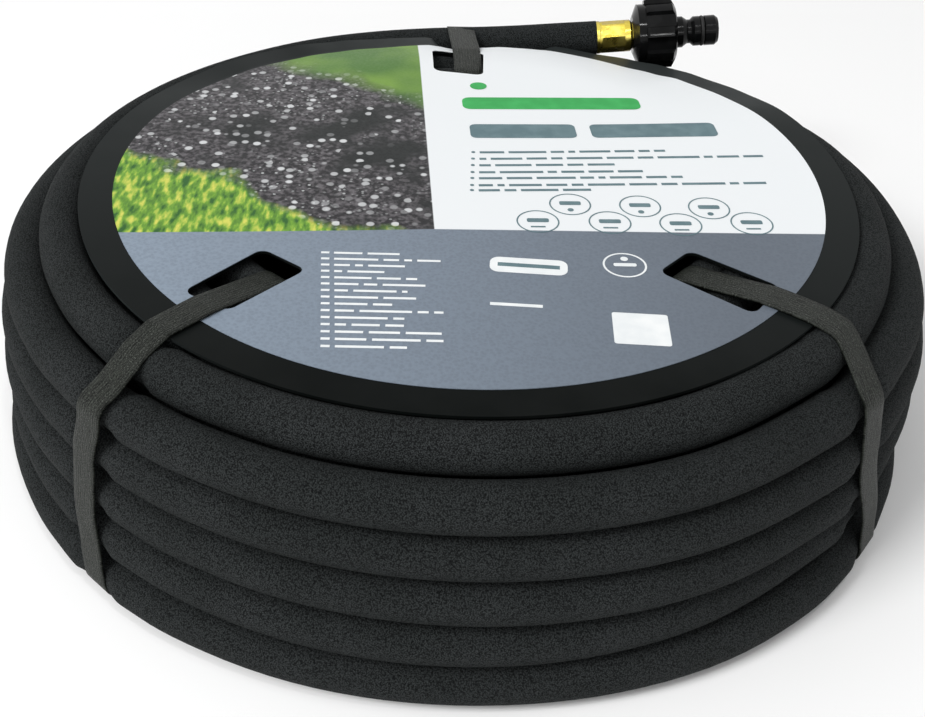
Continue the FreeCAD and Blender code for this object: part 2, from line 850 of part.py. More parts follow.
def windowed_disc(label, radius, thick, height):
    body = new_body(label)
    sketch = circle_sketch(body, label + "_circle", f"2 * {radius}", "XY_Plane", "disc_shift_x", "disc_shift_y")
    plate = body.newObject("PartDesign::Pad", label + "_plate")
    plate.Profile = sketch
    plate.setExpression("Length", bound(thick))
    doc.recompute()
    for name, azimuth in (("back", "label_azimuth"), ("left", "label_azimuth + window_step"),
                          ("right", "label_azimuth - window_step")):
        window = new_sketch(body, f"{label}_window_{name}")
        outline(window, [
            ("window_inner", "-window_inner_width / 2"),
            ("window_outer", "-window_outer_width / 2"),
            ("window_outer", "window_outer_width / 2"),
            ("window_inner", "window_inner_width / 2"),
        ])
        window.AttachmentOffset = FreeCAD.Placement(V(0, 0, 0), FreeCAD.Rotation(UP, size(azimuth)))
        window.setExpression("AttachmentOffset.Rotation.Angle", bound(azimuth))
        pocket(body, f"{label}_cut_{name}", window, thick, upward=True)
    base = body.Tip
    upright = [f"Edge{number}" for number, edge in enumerate(base.Shape.Edges, start=1)
               if abs(edge.BoundBox.ZLength - size(thick)) < 0.01 and edge.BoundBox.XLength < 0.01
               and edge.BoundBox.YLength < 0.01 and edge.CenterOfMass.Length < size("print_radius") - 2]
    rounded = body.newObject("PartDesign::Fillet", label + "_corners")
    rounded.Base = (base, upright)
    rounded.setExpression("Radius", bound("window_corner"))
    doc.recompute()
    body.Placement = FreeCAD.Placement(V(0, 0, size(height)), FreeCAD.Rotation())


windowed_disc("label_disc", "disc_radius", "disc_thick", "core_top")
windowed_disc("label_print", "print_radius", "print_thick", "core_top + disc_thick")


# Checks, then one file for each piece

doc.recompute()
broken = [item.Name for item in doc.Objects if {"Invalid", "Error"} & set(item.State)]
if broken:
    raise SystemExit(f"failed features: {broken}")
for label, item in parts.items():
    shape = item.Shape
    if shape.isNull() or not shape.isValid() or shape.Volume <= 0:
        raise SystemExit(f"{label} has no valid shape")
    if len(shape.Solids) != 1:
        raise SystemExit(f"{label} has {len(shape.Solids)} solids")

os.makedirs("parts", exist_ok=True)
for label, item in parts.items():
    item.Shape.exportStep(f"parts/{label}.step")
print(len(parts), "pieces written")
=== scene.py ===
# %% [markdown]
# # A porous soaker hose on its coil
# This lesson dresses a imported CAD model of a 25 m soaker hose: the wound hose, three straps,
# a label disc with a printed sheet, and a threaded fitting at each end of the hose.
# The CAD model is loaded as a fixed frame, in metres. Hard pieces keep their CAD shape and only
# get a finish. Soft pieces, the hose and its straps, are built again in the same place, and so is
# the thin disc, because it bends under the straps.

# %% Load the frame
import math

import bmesh
import bpy
from mathutils import Matrix, Vector, geometry


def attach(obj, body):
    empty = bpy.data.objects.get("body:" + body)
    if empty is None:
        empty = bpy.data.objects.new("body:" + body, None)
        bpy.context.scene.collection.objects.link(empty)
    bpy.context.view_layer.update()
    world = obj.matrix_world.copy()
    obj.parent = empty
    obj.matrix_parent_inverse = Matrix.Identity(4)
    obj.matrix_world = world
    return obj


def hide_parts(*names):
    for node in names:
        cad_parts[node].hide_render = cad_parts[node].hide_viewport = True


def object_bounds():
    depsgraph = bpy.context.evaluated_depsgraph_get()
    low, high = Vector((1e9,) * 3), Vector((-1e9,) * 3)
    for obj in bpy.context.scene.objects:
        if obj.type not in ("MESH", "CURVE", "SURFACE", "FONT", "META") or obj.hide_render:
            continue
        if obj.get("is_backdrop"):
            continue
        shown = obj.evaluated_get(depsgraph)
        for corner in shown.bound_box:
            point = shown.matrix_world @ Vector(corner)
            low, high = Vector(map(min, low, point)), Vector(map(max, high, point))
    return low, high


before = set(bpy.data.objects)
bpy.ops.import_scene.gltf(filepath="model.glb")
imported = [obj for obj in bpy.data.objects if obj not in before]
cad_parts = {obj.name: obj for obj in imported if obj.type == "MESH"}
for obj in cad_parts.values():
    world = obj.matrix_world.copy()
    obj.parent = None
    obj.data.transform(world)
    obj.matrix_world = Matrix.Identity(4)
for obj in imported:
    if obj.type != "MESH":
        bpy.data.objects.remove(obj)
cad_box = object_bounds()
scene = bpy.context.scene
MM = 0.001

# %% [markdown]
# ## The camera
# The photograph looks down on the coil from the front. Its height, distance and lens were solved
# from the round outlines of the disc and the turns, which a camera turns into ellipses. The camera
# could come last, but it is set first, so that every later choice is judged from the same place.

# %% Camera
CAMERA_AT = (0.39 * MM, -450.64 * MM, 346.36 * MM)
LOOKS_DOWN = math.radians(37.43)
TILT = math.radians(2.22)
FOCAL_PIXELS = 1150
PHOTO_WIDTH = 925
SENSOR_WIDTH = 36
NEAREST_SEEN = 10 * MM

camera_data = bpy.data.cameras.new("camera")
camera_data.sensor_width = SENSOR_WIDTH
camera_data.lens = SENSOR_WIDTH * FOCAL_PIXELS / PHOTO_WIDTH
camera_data.clip_start = NEAREST_SEEN
camera = bpy.data.objects.new("camera", camera_data)
turned = Matrix.Rotation(math.pi / 2 - LOOKS_DOWN, 4, "X") @ Matrix.Rotation(TILT, 4, "Z")
camera.matrix_world = Matrix.Translation(CAMERA_AT) @ turned
scene.collection.objects.link(camera)
scene.camera = camera
print(f"lens {camera_data.lens:.1f} mm")

# %% [markdown]
# ## Where the hose runs
# A coil is easiest to plan in its own terms: how far round, how far out and how high. Each station
# below is an azimuth in degrees, a radius and a height in millimetres. The azimuth keeps growing,
# so one list holds the whole hose: the set-back top turn, the outer column from the top down, and
# four inner columns that climb and sink in turn until the hose comes out in the middle.
# The hose was wound by hand, so some turns stand out a few millimetres further than others on one
# side, as the photograph's scalloped outline shows.

# %% Stations of the outer turns
HOSE_RADIUS = 9.0

stations = [
    # the set-back top turn, from the inlet end round to the step at the back
    (105, 172.4, 91.9), (130, 172.2, 92.4), (165, 171.6, 94.8), (200, 171.6, 95.6), (370, 171.6, 95.4),
    (424, 171.5, 76.5), (470, 189.4, 82.2),
    # first outer turn
    (490, 184.0, 83.2), (510, 185.0, 83.2), (550, 187.4, 83.2), (590, 186.6, 83.2), (680, 186.6, 83.2),
    (695, 187.8, 83.2), (722, 186.5, 83.0), (742, 188.0, 81.6), (762, 193.0, 77.0),
    # second
    (795, 194.4, 64.9), (890, 190.8, 64.9), (910, 192.2, 64.9), (950, 189.6, 64.9), (990, 189.5, 64.9),
    (1045, 191.6, 64.9), (1066, 192.0, 64.9), (1095, 191.2, 64.9),
    # third
    (1155, 192.4, 46.3), (1250, 193.2, 46.3), (1270, 194.7, 46.3), (1310, 192.4, 46.3),
    (1395, 193.2, 46.3), (1425, 192.6, 46.3), (1455, 192.4, 46.3),
    # fourth
    (1515, 195.2, 27.8), (1610, 195.6, 27.8), (1630, 195.2, 27.8), (1710, 195.2, 27.8),
    (1755, 191.7, 27.8), (1772, 190.6, 27.8), (1795, 193.0, 27.8), (1815, 195.2, 27.8),
    # fifth, on the floor, and the step inwards
    (1875, 198.0, 9.25), (1975, 198.2, 9.25), (2012, 198.9, 9.25), (2032, 199.2, 9.25),
    (2075, 197.2, 9.25), (2108, 199.3, 9.25), (2135, 195.5, 9.25), (2150, 193.5, 9.25),
    (2168, 192.5, 9.25), (2196, 182.5, 9.5),
]
LAST_OUTER_AZIMUTH = stations[-1][0]

# %% Stations of the inner columns
STEP_FROM, STEP_TO = 15, 75
LAST_STEP_FROM = -45


def on_lap(lap, *places):
    """Adds stations of one lap, each an azimuth within it, a radius and a height."""
    for azimuth, radius, height in places:
        stations.append((360 * lap + azimuth, radius, height))


def add_column(first_lap, turns):
    """A column of turns: each keeps its radius and height for most of a lap, then steps over."""
    for count, (radius, height) in enumerate(turns):
        leaves = LAST_STEP_FROM if count == len(turns) - 1 else STEP_FROM
        on_lap(first_lap + count, (STEP_TO, radius, height), (360 + leaves, radius, height))


add_column(6, [(173.9, 9.9), (173.9, 28.6), (173.9, 47.6)])
add_column(9, [(156.0, 84.0), (156.0, 65.5), (156.0, 47.0), (156.0, 28.4), (156.0, 9.9)])
on_lap(14, (STEP_FROM, 138.4, 9.9))
add_column(14, [(138.4, 9.9), (133.4, 26.0), (138.4, 42.8), (133.4, 59.7), (138.4, 76.6)])
on_lap(19, (STEP_TO, 138.4, 91.4), (110, 138.4, 91.4), (230, 138.6, 93.4), (300, 133.4, 93.4))
on_lap(20, (STEP_FROM, 116.0, 93.4))
add_column(20, [(115.3, 93.4), (120.3, 76.6), (115.3, 59.7), (120.3, 42.8), (115.3, 26.0)])
on_lap(25, (STEP_TO, 120.3, 9.9))
on_lap(26, (120, 120.3, 9.9))

# %% Place of the hose at an azimuth
OUT_OF_ROUND = (0.0020, 0.0050)


def smooth_step(share):
    share = min(max(share, 0.0), 1.0)
    return share * share * (3 - 2 * share)


def look_up(table, where):
    """Reads a table of (place, value, value...) smoothly between its rows."""
    if where <= table[0][0]:
        return table[0][1:]
    for here, onwards in zip(table, table[1:]):
        if where <= onwards[0]:
            ease = smooth_step((where - here[0]) / (onwards[0] - here[0]))
            return tuple(a + (b - a) * ease for a, b in zip(here[1:], onwards[1:]))
    return table[-1][1:]


def hose_place(azimuth):
    """Radius and height of the hose's middle. The turns that show are a little out of round."""
    radius, height = look_up(stations, azimuth)
    if azimuth < LAST_OUTER_AZIMUTH:
        thrice = math.radians(3 * azimuth)
        radius *= 1 - OUT_OF_ROUND[0] * math.cos(thrice) - OUT_OF_ROUND[1] * math.sin(thrice)
    return radius, height


print(len(stations), "stations over", round((stations[-1][0] - stations[0][0]) / 360, 1), "laps")

# %% [markdown]
# ## Where the straps run
# Three flat straps hold the coil. Each lies in an upright plane, but wanders a few degrees out of
# it on its way: over the top, round the outer corner and down to the foot. The lean table of each
# strap gives how far it has wandered, in degrees, at distances along that way. The bearings are
# the rounds of the set-back turn and the first outer turn that it lies on, and it enters its
# window in the disc at a radius of its own.

# %% Straps
STRAPS = {
    "strap_left": {
        "azimuth": -130.0, "width": 12.8, "bearings": (8.2, 9.8), "enters": 146,
        "lean": [(0, 0.0), (61, 0.1), (76, 0.0), (98, -0.8), (120, -2.0),
                 (146, -2.3), (171, -1.4), (185, -0.8)],
    },
    "strap_right": {
        "azimuth": -39.5, "width": 13.4, "bearings": (9.2, 10.2), "enters": 146,
        "lean": [(0, 0.0), (50, 1.5), (98, -1.7), (120, -1.3), (171, 2.4), (185, 3.0)],
    },
    "strap_back": {
        "azimuth": 93.6, "width": 14.6, "bearings": (9.2, 8.2), "enters": 137.5,
        "lean": [(0, -2.4), (70, -0.9), (185, 0.0)],
    },
}
WAY_STARTS = 110
WAY_TOP = 95
CORNER_FROM, CORNER_TO = 150, 180


def strap_azimuth(strap, radius, height):
    """Azimuth of a strap's middle at a radius and height."""
    round_corner = smooth_step((radius - CORNER_FROM) / (CORNER_TO - CORNER_FROM))
    way = radius - WAY_STARTS + (WAY_TOP - height) * round_corner
    return strap["azimuth"] + look_up(strap["lean"], way)[0]


# %% [markdown]
# ## The hose
# The hose is one 25 m length of porous rubber. Closed rings would be easier, but a real hose never
# closes on itself, so it is one curve: a NURBS spline whose control points are the listed points
# of the two free ends and the turns worked out from the stations.
# A spline runs a little inside the corners of its control points, so each point stands slightly
# further out than the hose. Under a strap the hose is squeezed, which a curve does with the radius
# of its points: extra points beside each strap keep the squeeze short.

# %% Where the straps squeeze the hose
INLET_END = [(68.0, 170.7, 100.2), (46.0, 170.5, 98.2), (24.0, 171.2, 95.6), (0.0, 172.2, 93.4),
             (-22.0, 172.0, 92.2)]
FAR_END = [(-112.0, 30.0, 9.7), (-105.0, -14.0, 10.2), (-82.0, -50.0, 12.0),
           (-48.0, -70.0, 14.4), (-6.0, -70.0, 16.8), (33.0, -50.0, 18.2)]
FULL = 1.025
SQUEEZE = 0.87
# offsets from a strap, in degrees, and the share of its radius that the hose keeps there
PINCH = [(-5.0, FULL), (-3.6, 1.05), (-2.6, 0.93), (-1.6, SQUEEZE), (0.0, SQUEEZE),
         (1.6, SQUEEZE), (2.6, 0.93), (3.6, 1.05), (5.0, FULL)]
OUTER_LAPS = 7
PINCHES_FROM = 110
PINCHES_TO = LAST_OUTER_AZIMUTH - 15


def pinch_centres():
    """Azimuths, along the winding, where a strap presses on a turn that shows."""
    centres = []
    for name, strap in STRAPS.items():
        for lap in range(OUTER_LAPS):
            along = strap["azimuth"] % 360 + 360 * lap
            if PINCHES_FROM < along < PINCHES_TO:
                # only the left strap presses hard on the set-back top turn
                pressed = 1.0 if name != "strap_left" and lap == 0 else SQUEEZE
                centre = strap_azimuth(strap, *hose_place(along)) % 360 + 360 * lap
                centres.append((centre, pressed))
    return centres


# %% Control points of the hose
TURNS_FROM = 108.0
SHOWN_STEP, INNER_STEP = 12, 20
CLEAR_OF_PINCH = 9.5


def turn_azimuths():
    """Azimuths and squeezes of the control points, closer together beside the straps."""
    centres = pinch_centres()
    found = []
    azimuth = TURNS_FROM
    while azimuth < stations[-1][0]:
        shows = azimuth < LAST_OUTER_AZIMUTH
        if min(abs(azimuth - centre) for centre, _ in centres) > CLEAR_OF_PINCH:
            found.append((azimuth, FULL if shows else 1.0))
        azimuth += SHOWN_STEP if shows else INNER_STEP
    for centre, pressed in centres:
        for offset, squeeze in PINCH:
            eased = squeeze if squeeze >= 1 else squeeze + (pressed - SQUEEZE)
            found.append((centre + offset, eased))
    return sorted(found)


def coil_points():
    """Control points of all turns: (x, y, z, squeeze) in millimetres."""
    azimuths = turn_azimuths()
    points = []
    for index, (azimuth, squeeze) in enumerate(azimuths):
        before = azimuths[max(index - 1, 0)][0]
        after = azimuths[min(index + 1, len(azimuths) - 1)][0]
        radius, height = hose_place(azimuth)
        half_step = math.radians((after - before) / 4)
        reach = radius / math.cos(half_step)
        angle = math.radians(azimuth)
        points.append((reach * math.cos(angle), reach * math.sin(angle), height, squeeze))
    return points


def unsqueezed(points):
    return [(*point, 1.0) for point in points]


hose_points = unsqueezed(INLET_END) + coil_points() + unsqueezed(FAR_END)
print(len(hose_points), "control points")

# %% Build the hose
hose_curve = bpy.data.curves.new("soaker_hose", "CURVE")
hose_curve.dimensions = "3D"
spline = hose_curve.splines.new("NURBS")
spline.points.add(len(hose_points) - 1)
for point, (x, y, z, squeeze) in zip(spline.points, hose_points):
    point.co = (x * MM, y * MM, z * MM, 1)
    point.radius = HOSE_RADIUS * MM * squeeze
spline.order_u = 3
spline.use_endpoint_u = True
spline.resolution_u = 5
hose_curve.bevel_depth = 1.0
hose_curve.bevel_resolution = 9
hose_curve.use_fill_caps = True
hose_curve.twist_mode = "MINIMUM"
soaker_hose = bpy.data.objects.new("soaker_hose", hose_curve)
scene.collection.objects.link(soaker_hose)
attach(soaker_hose, "coil")
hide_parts("hose_core", "hose_outer_turns", "hose_inlet_end", "hose_far_end")
print(f"hose {spline.calc_length():.2f} m long")

# %% [markdown]
# ## Helpers for sheet pieces
# Sheets and bands are drawn with bmesh operators, in millimetres, which leaves less to get wrong
# than typed lists of corners. They become objects at the origin, so that a pattern on object
# coordinates stays where it belongs.

# %% Helpers
SHARP_EDGE = math.radians(35)


def as_object(name, bm):
    mesh = bpy.data.meshes.new(name)
    bm.to_mesh(mesh)
    bm.free()
    made = bpy.data.objects.new(name, mesh)
    scene.collection.objects.link(made)
    return made


def as_piece(name, bm):
    """Turns a bmesh, in millimetres, into a piece that rides on the coil."""
    bmesh.ops.scale(bm, vec=(MM, MM, MM), verts=bm.verts)
    piece = as_object(name, bm)
    piece.data.shade_smooth()
    piece.data.set_sharp_from_angle(angle=SHARP_EDGE)
    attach(piece, "coil")
    return piece


def new_verts(result):
    return [item for item in result["geom"] if isinstance(item, bmesh.types.BMVert)]


def thicken(bm, faces, thick):
    """Extrudes flat faces upwards and turns all faces outwards."""
    lifted = bmesh.ops.extrude_face_region(bm, geom=faces)
    bmesh.ops.translate(bm, vec=(0, 0, thick), verts=new_verts(lifted))
    bmesh.ops.recalc_face_normals(bm, faces=bm.faces)


def round_corners(bm, corners, rounding):
    """Rounds the corners of a flat face and gives the new points."""
    return bmesh.ops.bevel(bm, geom=corners, affect="VERTICES", offset=rounding, offset_type="OFFSET",
                           segments=5, profile=0.5, material=-1)["verts"]


# %% [markdown]
# ## How the label disc lies
# The disc is a thin plastic sheet, and it isn't flat. The back of it sags between the inner turns
# and the rim, and beside the back strap its edge is pulled down inside the hose, which curls it.
# Cloth simulation could find a sag, but the photograph shows this one, so a table gives it.
# One function bends the disc, the printed sheet and all that is printed on it, so they stay together.

# %% Bend of the disc
DISC_MIDDLE = Vector((0.8, -1.5))
DISC_RADIUS = 165.0
PRINT_RADIUS = 151.4
DECK = 104.8

# azimuth, sag at the printed sheet's edge, sag at the rim
SAG = [
    (25, 0.0, 0.0), (35, 0.6, 1.2), (45.8, 1.6, 2.6), (52.4, 3.5, 3.8), (58.8, 4.5, 5.4), (67, 4.3, 6.8),
    (76, 4.0, 6.4), (84, 4.6, 6.2), (89, 5.8, 6.6), (92.5, 7.4, 8.0), (95, 7.0, 8.0), (97.2, 5.6, 6.4),
    (100, 4.7, 5.6), (108, 4.8, 5.1), (117, 3.9, 3.5), (126, 2.9, 1.6), (140, 1.2, 0.2), (160, 0.0, 0.0),
]
SAG_FROM = 118
CURL = [(74, 0.0), (82, 1.0), (95.2, 1.0), (98.6, 0.0)]
CURL_FROM = 150
CURL_IN, CURL_DOWN = 0.45, 0.6
WAVE_TWICE = (1.29, 0.84)
WAVE_THRICE = (-0.50, 0.71)
STILL_FROM, STILL_TO, STILL_EASE = 20, 165, 25


def rim_wave(azimuth, out):
    """A gentle wave of the rim, two and three times round, that dies out at the back."""
    twice, thrice = math.radians(2 * azimuth), math.radians(3 * azimuth)
    wave = (WAVE_TWICE[0] * math.cos(twice) + WAVE_TWICE[1] * math.sin(twice)
            + WAVE_THRICE[0] * math.cos(thrice) + WAVE_THRICE[1] * math.sin(thrice))
    still = smooth_step((azimuth - STILL_FROM) / STILL_EASE)
    still *= smooth_step((STILL_TO - azimuth) / STILL_EASE)
    return wave * (1 - still) * (out / DISC_RADIUS) ** 2


def lie(x, y):
    """Where a point of the flat disc comes to lie: (x, y, change of height), in millimetres."""
    away = Vector((x, y)) - DISC_MIDDLE
    out = away.length
    if out < 1e-6:
        return x, y, 0.0
    azimuth = math.degrees(math.atan2(away.y, away.x))
    at_print, at_rim = look_up(SAG, azimuth)
    if out < PRINT_RADIUS:
        sag = at_print * max(0.0, (out - SAG_FROM) / (PRINT_RADIUS - SAG_FROM)) ** 1.5
    else:
        sag = at_print + (at_rim - at_print) * (out - PRINT_RADIUS) / (DISC_RADIUS - PRINT_RADIUS)
    curl = look_up(CURL, azimuth)[0] * max(0.0, out - CURL_FROM)
    spot = DISC_MIDDLE + away * ((out - CURL_IN * curl) / out)
    return spot.x, spot.y, rim_wave(azimuth, out) - sag - CURL_DOWN * curl


def lay_on_disc(bm, height):
    """Bends the flat pieces of a bmesh onto the disc, height above its underside."""
    for vert in bm.verts:
        x, y, change = lie(vert.co.x, vert.co.y)
        vert.co = (x, y, vert.co.z + DECK + height + change)


print("the rim sags up to", max(at_rim for azimuth, at_print, at_rim in SAG), "mm")

# %% [markdown]
# ## The disc and the printed sheet
# Both are round sheets with the same three windows. A filled circle couldn't bend, so a row of
# points is spun into a disc with many small faces, and is given its thickness. A boolean cuts the
# windows while it is still flat; then the function above bends it. The rows of points are the same
# for both sheets, so the thin printed sheet follows the disc without a gap.

# %% Windows
DISC_THICK = 1.2
SHEET_THICK = 0.25
WINDOWS = [
    [(-103.2, -102.8), (-78.9, -71.6), (-60.0, -85.0), (-85.0, -114.2)],
    [(74.6, -76.6), (88.9, -60.2), (120.6, -83.2), (107.2, -102.2)],
    [(-22.2, 135.4), (-19.9, 103.6), (5.3, 99.8), (5.2, 133.2)],
]
WINDOW_ROUND = 4
CUTTER_TALL = 20


def window_cutter():
    """Three upright blocks in the shape of the windows."""
    bm = bmesh.new()
    for corners in WINDOWS:
        face = bm.faces.new([bm.verts.new((*corner, -CUTTER_TALL / 2)) for corner in corners])
        outline = set(round_corners(bm, face.verts[:], WINDOW_ROUND))
        thicken(bm, [face for face in bm.faces if outline <= set(face.verts)], CUTTER_TALL)
    return as_object("window_cutter", bm)


# %% Build the disc and the printed sheet
ROWS = [0, 8, 20, 32, 44, 56, 68, 80, 92, 100, 106, 112, 118, 124, 130, 136, 141, 146, 150,
        PRINT_RADIUS, 154, 157, 160, 162.5, 164, DISC_RADIUS]
SPIN_STEPS = 300


def spun_sheet(name, radius, thick):
    """A flat round sheet with a grid of points to bend at."""
    bm = bmesh.new()
    row = [bm.verts.new((out, 0, 0)) for out in ROWS if out <= radius]
    edges = [bm.edges.new(pair) for pair in zip(row, row[1:])]
    bmesh.ops.spin(bm, geom=row + edges, cent=(0, 0, 0), axis=(0, 0, 1), angle=math.tau,
                   steps=SPIN_STEPS, use_merge=True)
    bmesh.ops.remove_doubles(bm, verts=bm.verts, dist=0.001)
    thicken(bm, bm.faces[:], thick)
    bmesh.ops.translate(bm, vec=(*DISC_MIDDLE, 0), verts=bm.verts)
    return as_object(name + "_flat", bm)


def cut_windows(flat):
    """The mesh of a flat sheet with the windows cut out of it."""
    cutter = window_cutter()
    cut = flat.modifiers.new("windows", "BOOLEAN")
    cut.object = cutter
    cut.operation = "DIFFERENCE"
    cut.solver = "EXACT"
    bpy.context.view_layer.update()
    ready = bpy.data.meshes.new_from_object(flat.evaluated_get(bpy.context.evaluated_depsgraph_get()))
    for spare in (flat, cutter):
        bpy.data.objects.remove(spare)
    return ready


def round_sheet(name, radius, thick, height):
    ready = cut_windows(spun_sheet(name, radius, thick))
    bm = bmesh.new()
    bm.from_mesh(ready)
    bpy.data.meshes.remove(ready)
    bmesh.ops.remove_doubles(bm, verts=bm.verts, dist=0.0005)
    lay_on_disc(bm, height)
    return as_piece(name, bm)


disc = round_sheet("disc_sheet", DISC_RADIUS, DISC_THICK, 0.0)
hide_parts("label_disc")
printed_sheet = round_sheet("printed_sheet", PRINT_RADIUS, SHEET_THICK, DISC_THICK)
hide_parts("label_print")
print("disc", len(disc.data.polygons), "faces, sheet", len(printed_sheet.data.polygons), "faces")

# %% [markdown]
# ## What is printed on the sheet
# The label stays plain: bars, broken lines, rings and blank panels. Marks drawn in the material
# would each need nodes of their own. As very thin pieces of ink they stay sharp, and the function
# that bends the disc bends them too. Marks of one colour are one piece, and each colour lies a hair
# higher than the next, so that two never share a face.

# %% Bars, rings and dots
BEND_EVERY = 6
INK_THICK = 0.06
DASH_GAP = 2.0
DASH_LENGTHS = [11, 17, 6, 3, 14, 9, 5, 16, 12, 7, 19, 4, 10]


def bar(bm, start, end, tall, rounding=0.0):
    """A flat bar between two points of the disc, divided so that it can bend."""
    start, end = Vector(start), Vector(end)
    along = end - start
    turn = Matrix.Rotation(math.atan2(along.y, along.x), 4, "Z")
    size = Matrix.Diagonal((along.length, tall, 1, 1))
    place = Matrix.Translation((*((start + end) / 2), 0)) @ turn @ size
    made = bmesh.ops.create_grid(bm, x_segments=max(1, round(along.length / BEND_EVERY)),
                                 y_segments=max(1, round(tall / BEND_EVERY)), size=0.5, matrix=place)
    corners = [vert for vert in made["verts"] if len(vert.link_edges) == 2]
    if rounding:
        round_corners(bm, corners, rounding)


def ring(bm, middle, outer, wide):
    made = bmesh.ops.create_circle(bm, segments=48, radius=outer, matrix=Matrix.Translation((*middle, 0)))
    edges = list({edge for vert in made["verts"] for edge in vert.link_edges})
    inner = new_verts(bmesh.ops.extrude_edge_only(bm, edges=edges))
    shrink = (outer - wide) / outer
    to_middle = Matrix.Translation((-middle[0], -middle[1], 0))
    bmesh.ops.scale(bm, vec=(shrink, shrink, 1), verts=inner, space=to_middle)


def dot(bm, middle, radius):
    place = Matrix.Translation((*middle, 0))
    bmesh.ops.create_circle(bm, cap_ends=True, segments=20, radius=radius, matrix=place)


def broken_line(bm, start, length, rise, tall, first):
    """A line of dashes: their lengths follow a fixed rhythm that begins at first."""
    along, index = 0.0, first
    while along < length - DASH_GAP:
        dash = min(DASH_LENGTHS[index % len(DASH_LENGTHS)], length - along)
        here = (start[0] + along, start[1] + along * rise)
        there = (start[0] + along + dash, start[1] + (along + dash) * rise)
        bar(bm, here, there, tall)
        along += dash + DASH_GAP
        index += 1


def as_ink(name, bm, raised):
    """Gives flat marks their thickness and lays them on the printed sheet."""
    thicken(bm, bm.faces[:], INK_THICK)
    lay_on_disc(bm, DISC_THICK + SHEET_THICK + raised)
    return as_piece(name, bm)


# %% Green bar and dot
GREEN_BAR = {"start": (-4.5, 66), "end": (82.0, 73), "tall": 13, "rounding": 4}
GREEN_DOT = {"middle": (3.0, 86.5), "radius": 4.2}

bm = bmesh.new()
bar(bm, **GREEN_BAR)
dot(bm, **GREEN_DOT)
green_marks = as_ink("green_marks", bm, 0.1)

# %% Slate panels, broken lines and badges
PANELS = [((-0.2, 36.5), (49.0, 40.5)), ((56.0, 41.0), (115.0, 46.0))]
PANEL_TALL, PANEL_ROUND = 14, 3
# height and length of each line
SLATE_LINES = [(15.6, 84), (9.4, 128), (3.3, 60), (-3.1, 72), (-8.5, 92), (-14.7, 128), (-19.1, 50)]
LINE_LEFT, LINE_RISE, LINE_TALL = 4.5, 0.09, 1.8
BULLET_LEFT, BULLET_RADIUS = 1.6, 0.9
BADGES = [(29, -42.8), (42.9, -27.8), (58.6, -41.3), (72.3, -27.2), (87.7, -40.7), (101.3, -26.7),
          (117.4, -37.7)]
BADGE_RADIUS, BADGE_LINE = 8.8, 0.6


def badge(bm, x, y, with_dot):
    """A ring with a thick bar in it, and a dot or a thin bar below that."""
    ring(bm, (x, y), BADGE_RADIUS, BADGE_LINE)
    bar(bm, (x - 4.5, y + 0.6), (x + 4.5, y + 1.2), 3.0, 0.8)
    if with_dot:
        dot(bm, (x, y - 4.6), 1.3)
    else:
        bar(bm, (x - 3.0, y - 4.4), (x + 3.0, y - 4.0), 1.0)


bm = bmesh.new()
for start, end in PANELS:
    bar(bm, start, end, PANEL_TALL, PANEL_ROUND)
for index, (height, length) in enumerate(SLATE_LINES):
    dot(bm, (BULLET_LEFT, height), BULLET_RADIUS)
    broken_line(bm, (LINE_LEFT, height), length, LINE_RISE, LINE_TALL, index * 3)
for index, (x, y) in enumerate(BADGES):
    badge(bm, x, y, with_dot=index % 2)
bar(bm, (12.5, -76.0), (36.5, -77.0), 2.6)
slate_marks = as_ink("slate_marks", bm, 0.07)

# %% White list and badges
LIST_LENGTHS = [31, 50, 36, 25, 38, 44, 33, 40, 27, 48, 35, 30, 46, 50, 34]
LIST_TOP, LIST_STEP = -72.7, 4.27
LIST_LEFT, LIST_SHIFT = -56, 0.5
LIST_TALL, LIST_RISE = 1.3, 0.03
KEY_LENGTH, ENTRY_OFFSET, ENTRY_SHARE = 3.2, 5.0, 0.82

bm = bmesh.new()
for index, length in enumerate(LIST_LENGTHS):
    height = LIST_TOP - LIST_STEP * index
    left = LIST_LEFT + LIST_SHIFT * index
    broken_line(bm, (left, height), KEY_LENGTH, LIST_RISE, LIST_TALL, 0)
    broken_line(bm, (left + ENTRY_OFFSET, height + 0.1), length * ENTRY_SHARE, LIST_RISE, LIST_TALL, index)
bar(bm, (9.5, -76.0), (39.5, -77.2), 10.5, 3.6)
ring(bm, (61.9, -73.0), 8.6, 0.8)
bar(bm, (57.5, -73.0), (66.5, -72.6), 2.2, 0.8)
dot(bm, (62.0, -68.6), 1.5)
bar(bm, (9.7, -102.8), (29.1, -103.4), 1.8)
bar(bm, (54.0, -114.6), (74.4, -115.0), 19.0, 1.0)
white_marks = as_ink("white_marks", bm, 0.05)
print("marks", [len(piece.data.polygons) for piece in (green_marks, slate_marks, white_marks)], "faces")

# %% [markdown]
# ## The straps
# Each strap is a taut band of woven plastic round the coil's section. A taut band takes the
# shortest way round what it holds, which is the convex hull of the round sections it bears on.
# A band could be bent by hand over each turn, but the hull finds every bend by itself.
# The hull is drawn in one upright plane, widened into a band and turned to its azimuth.
# The band carries two attributes, the way along and the way across it, for its weave.

# %% What a strap bears on
STRAP_THICK = 0.8
PRESSED_ROUND = HOSE_RADIUS * SQUEEZE + 0.05
STRAP_UNDER = 0.85
EDGE_ROUND = 0.9
ON_DISC = 146
INNER_ROUNDS = [(115.3, 93.4, 9.0), (115.3, 9.0, 8.1)]


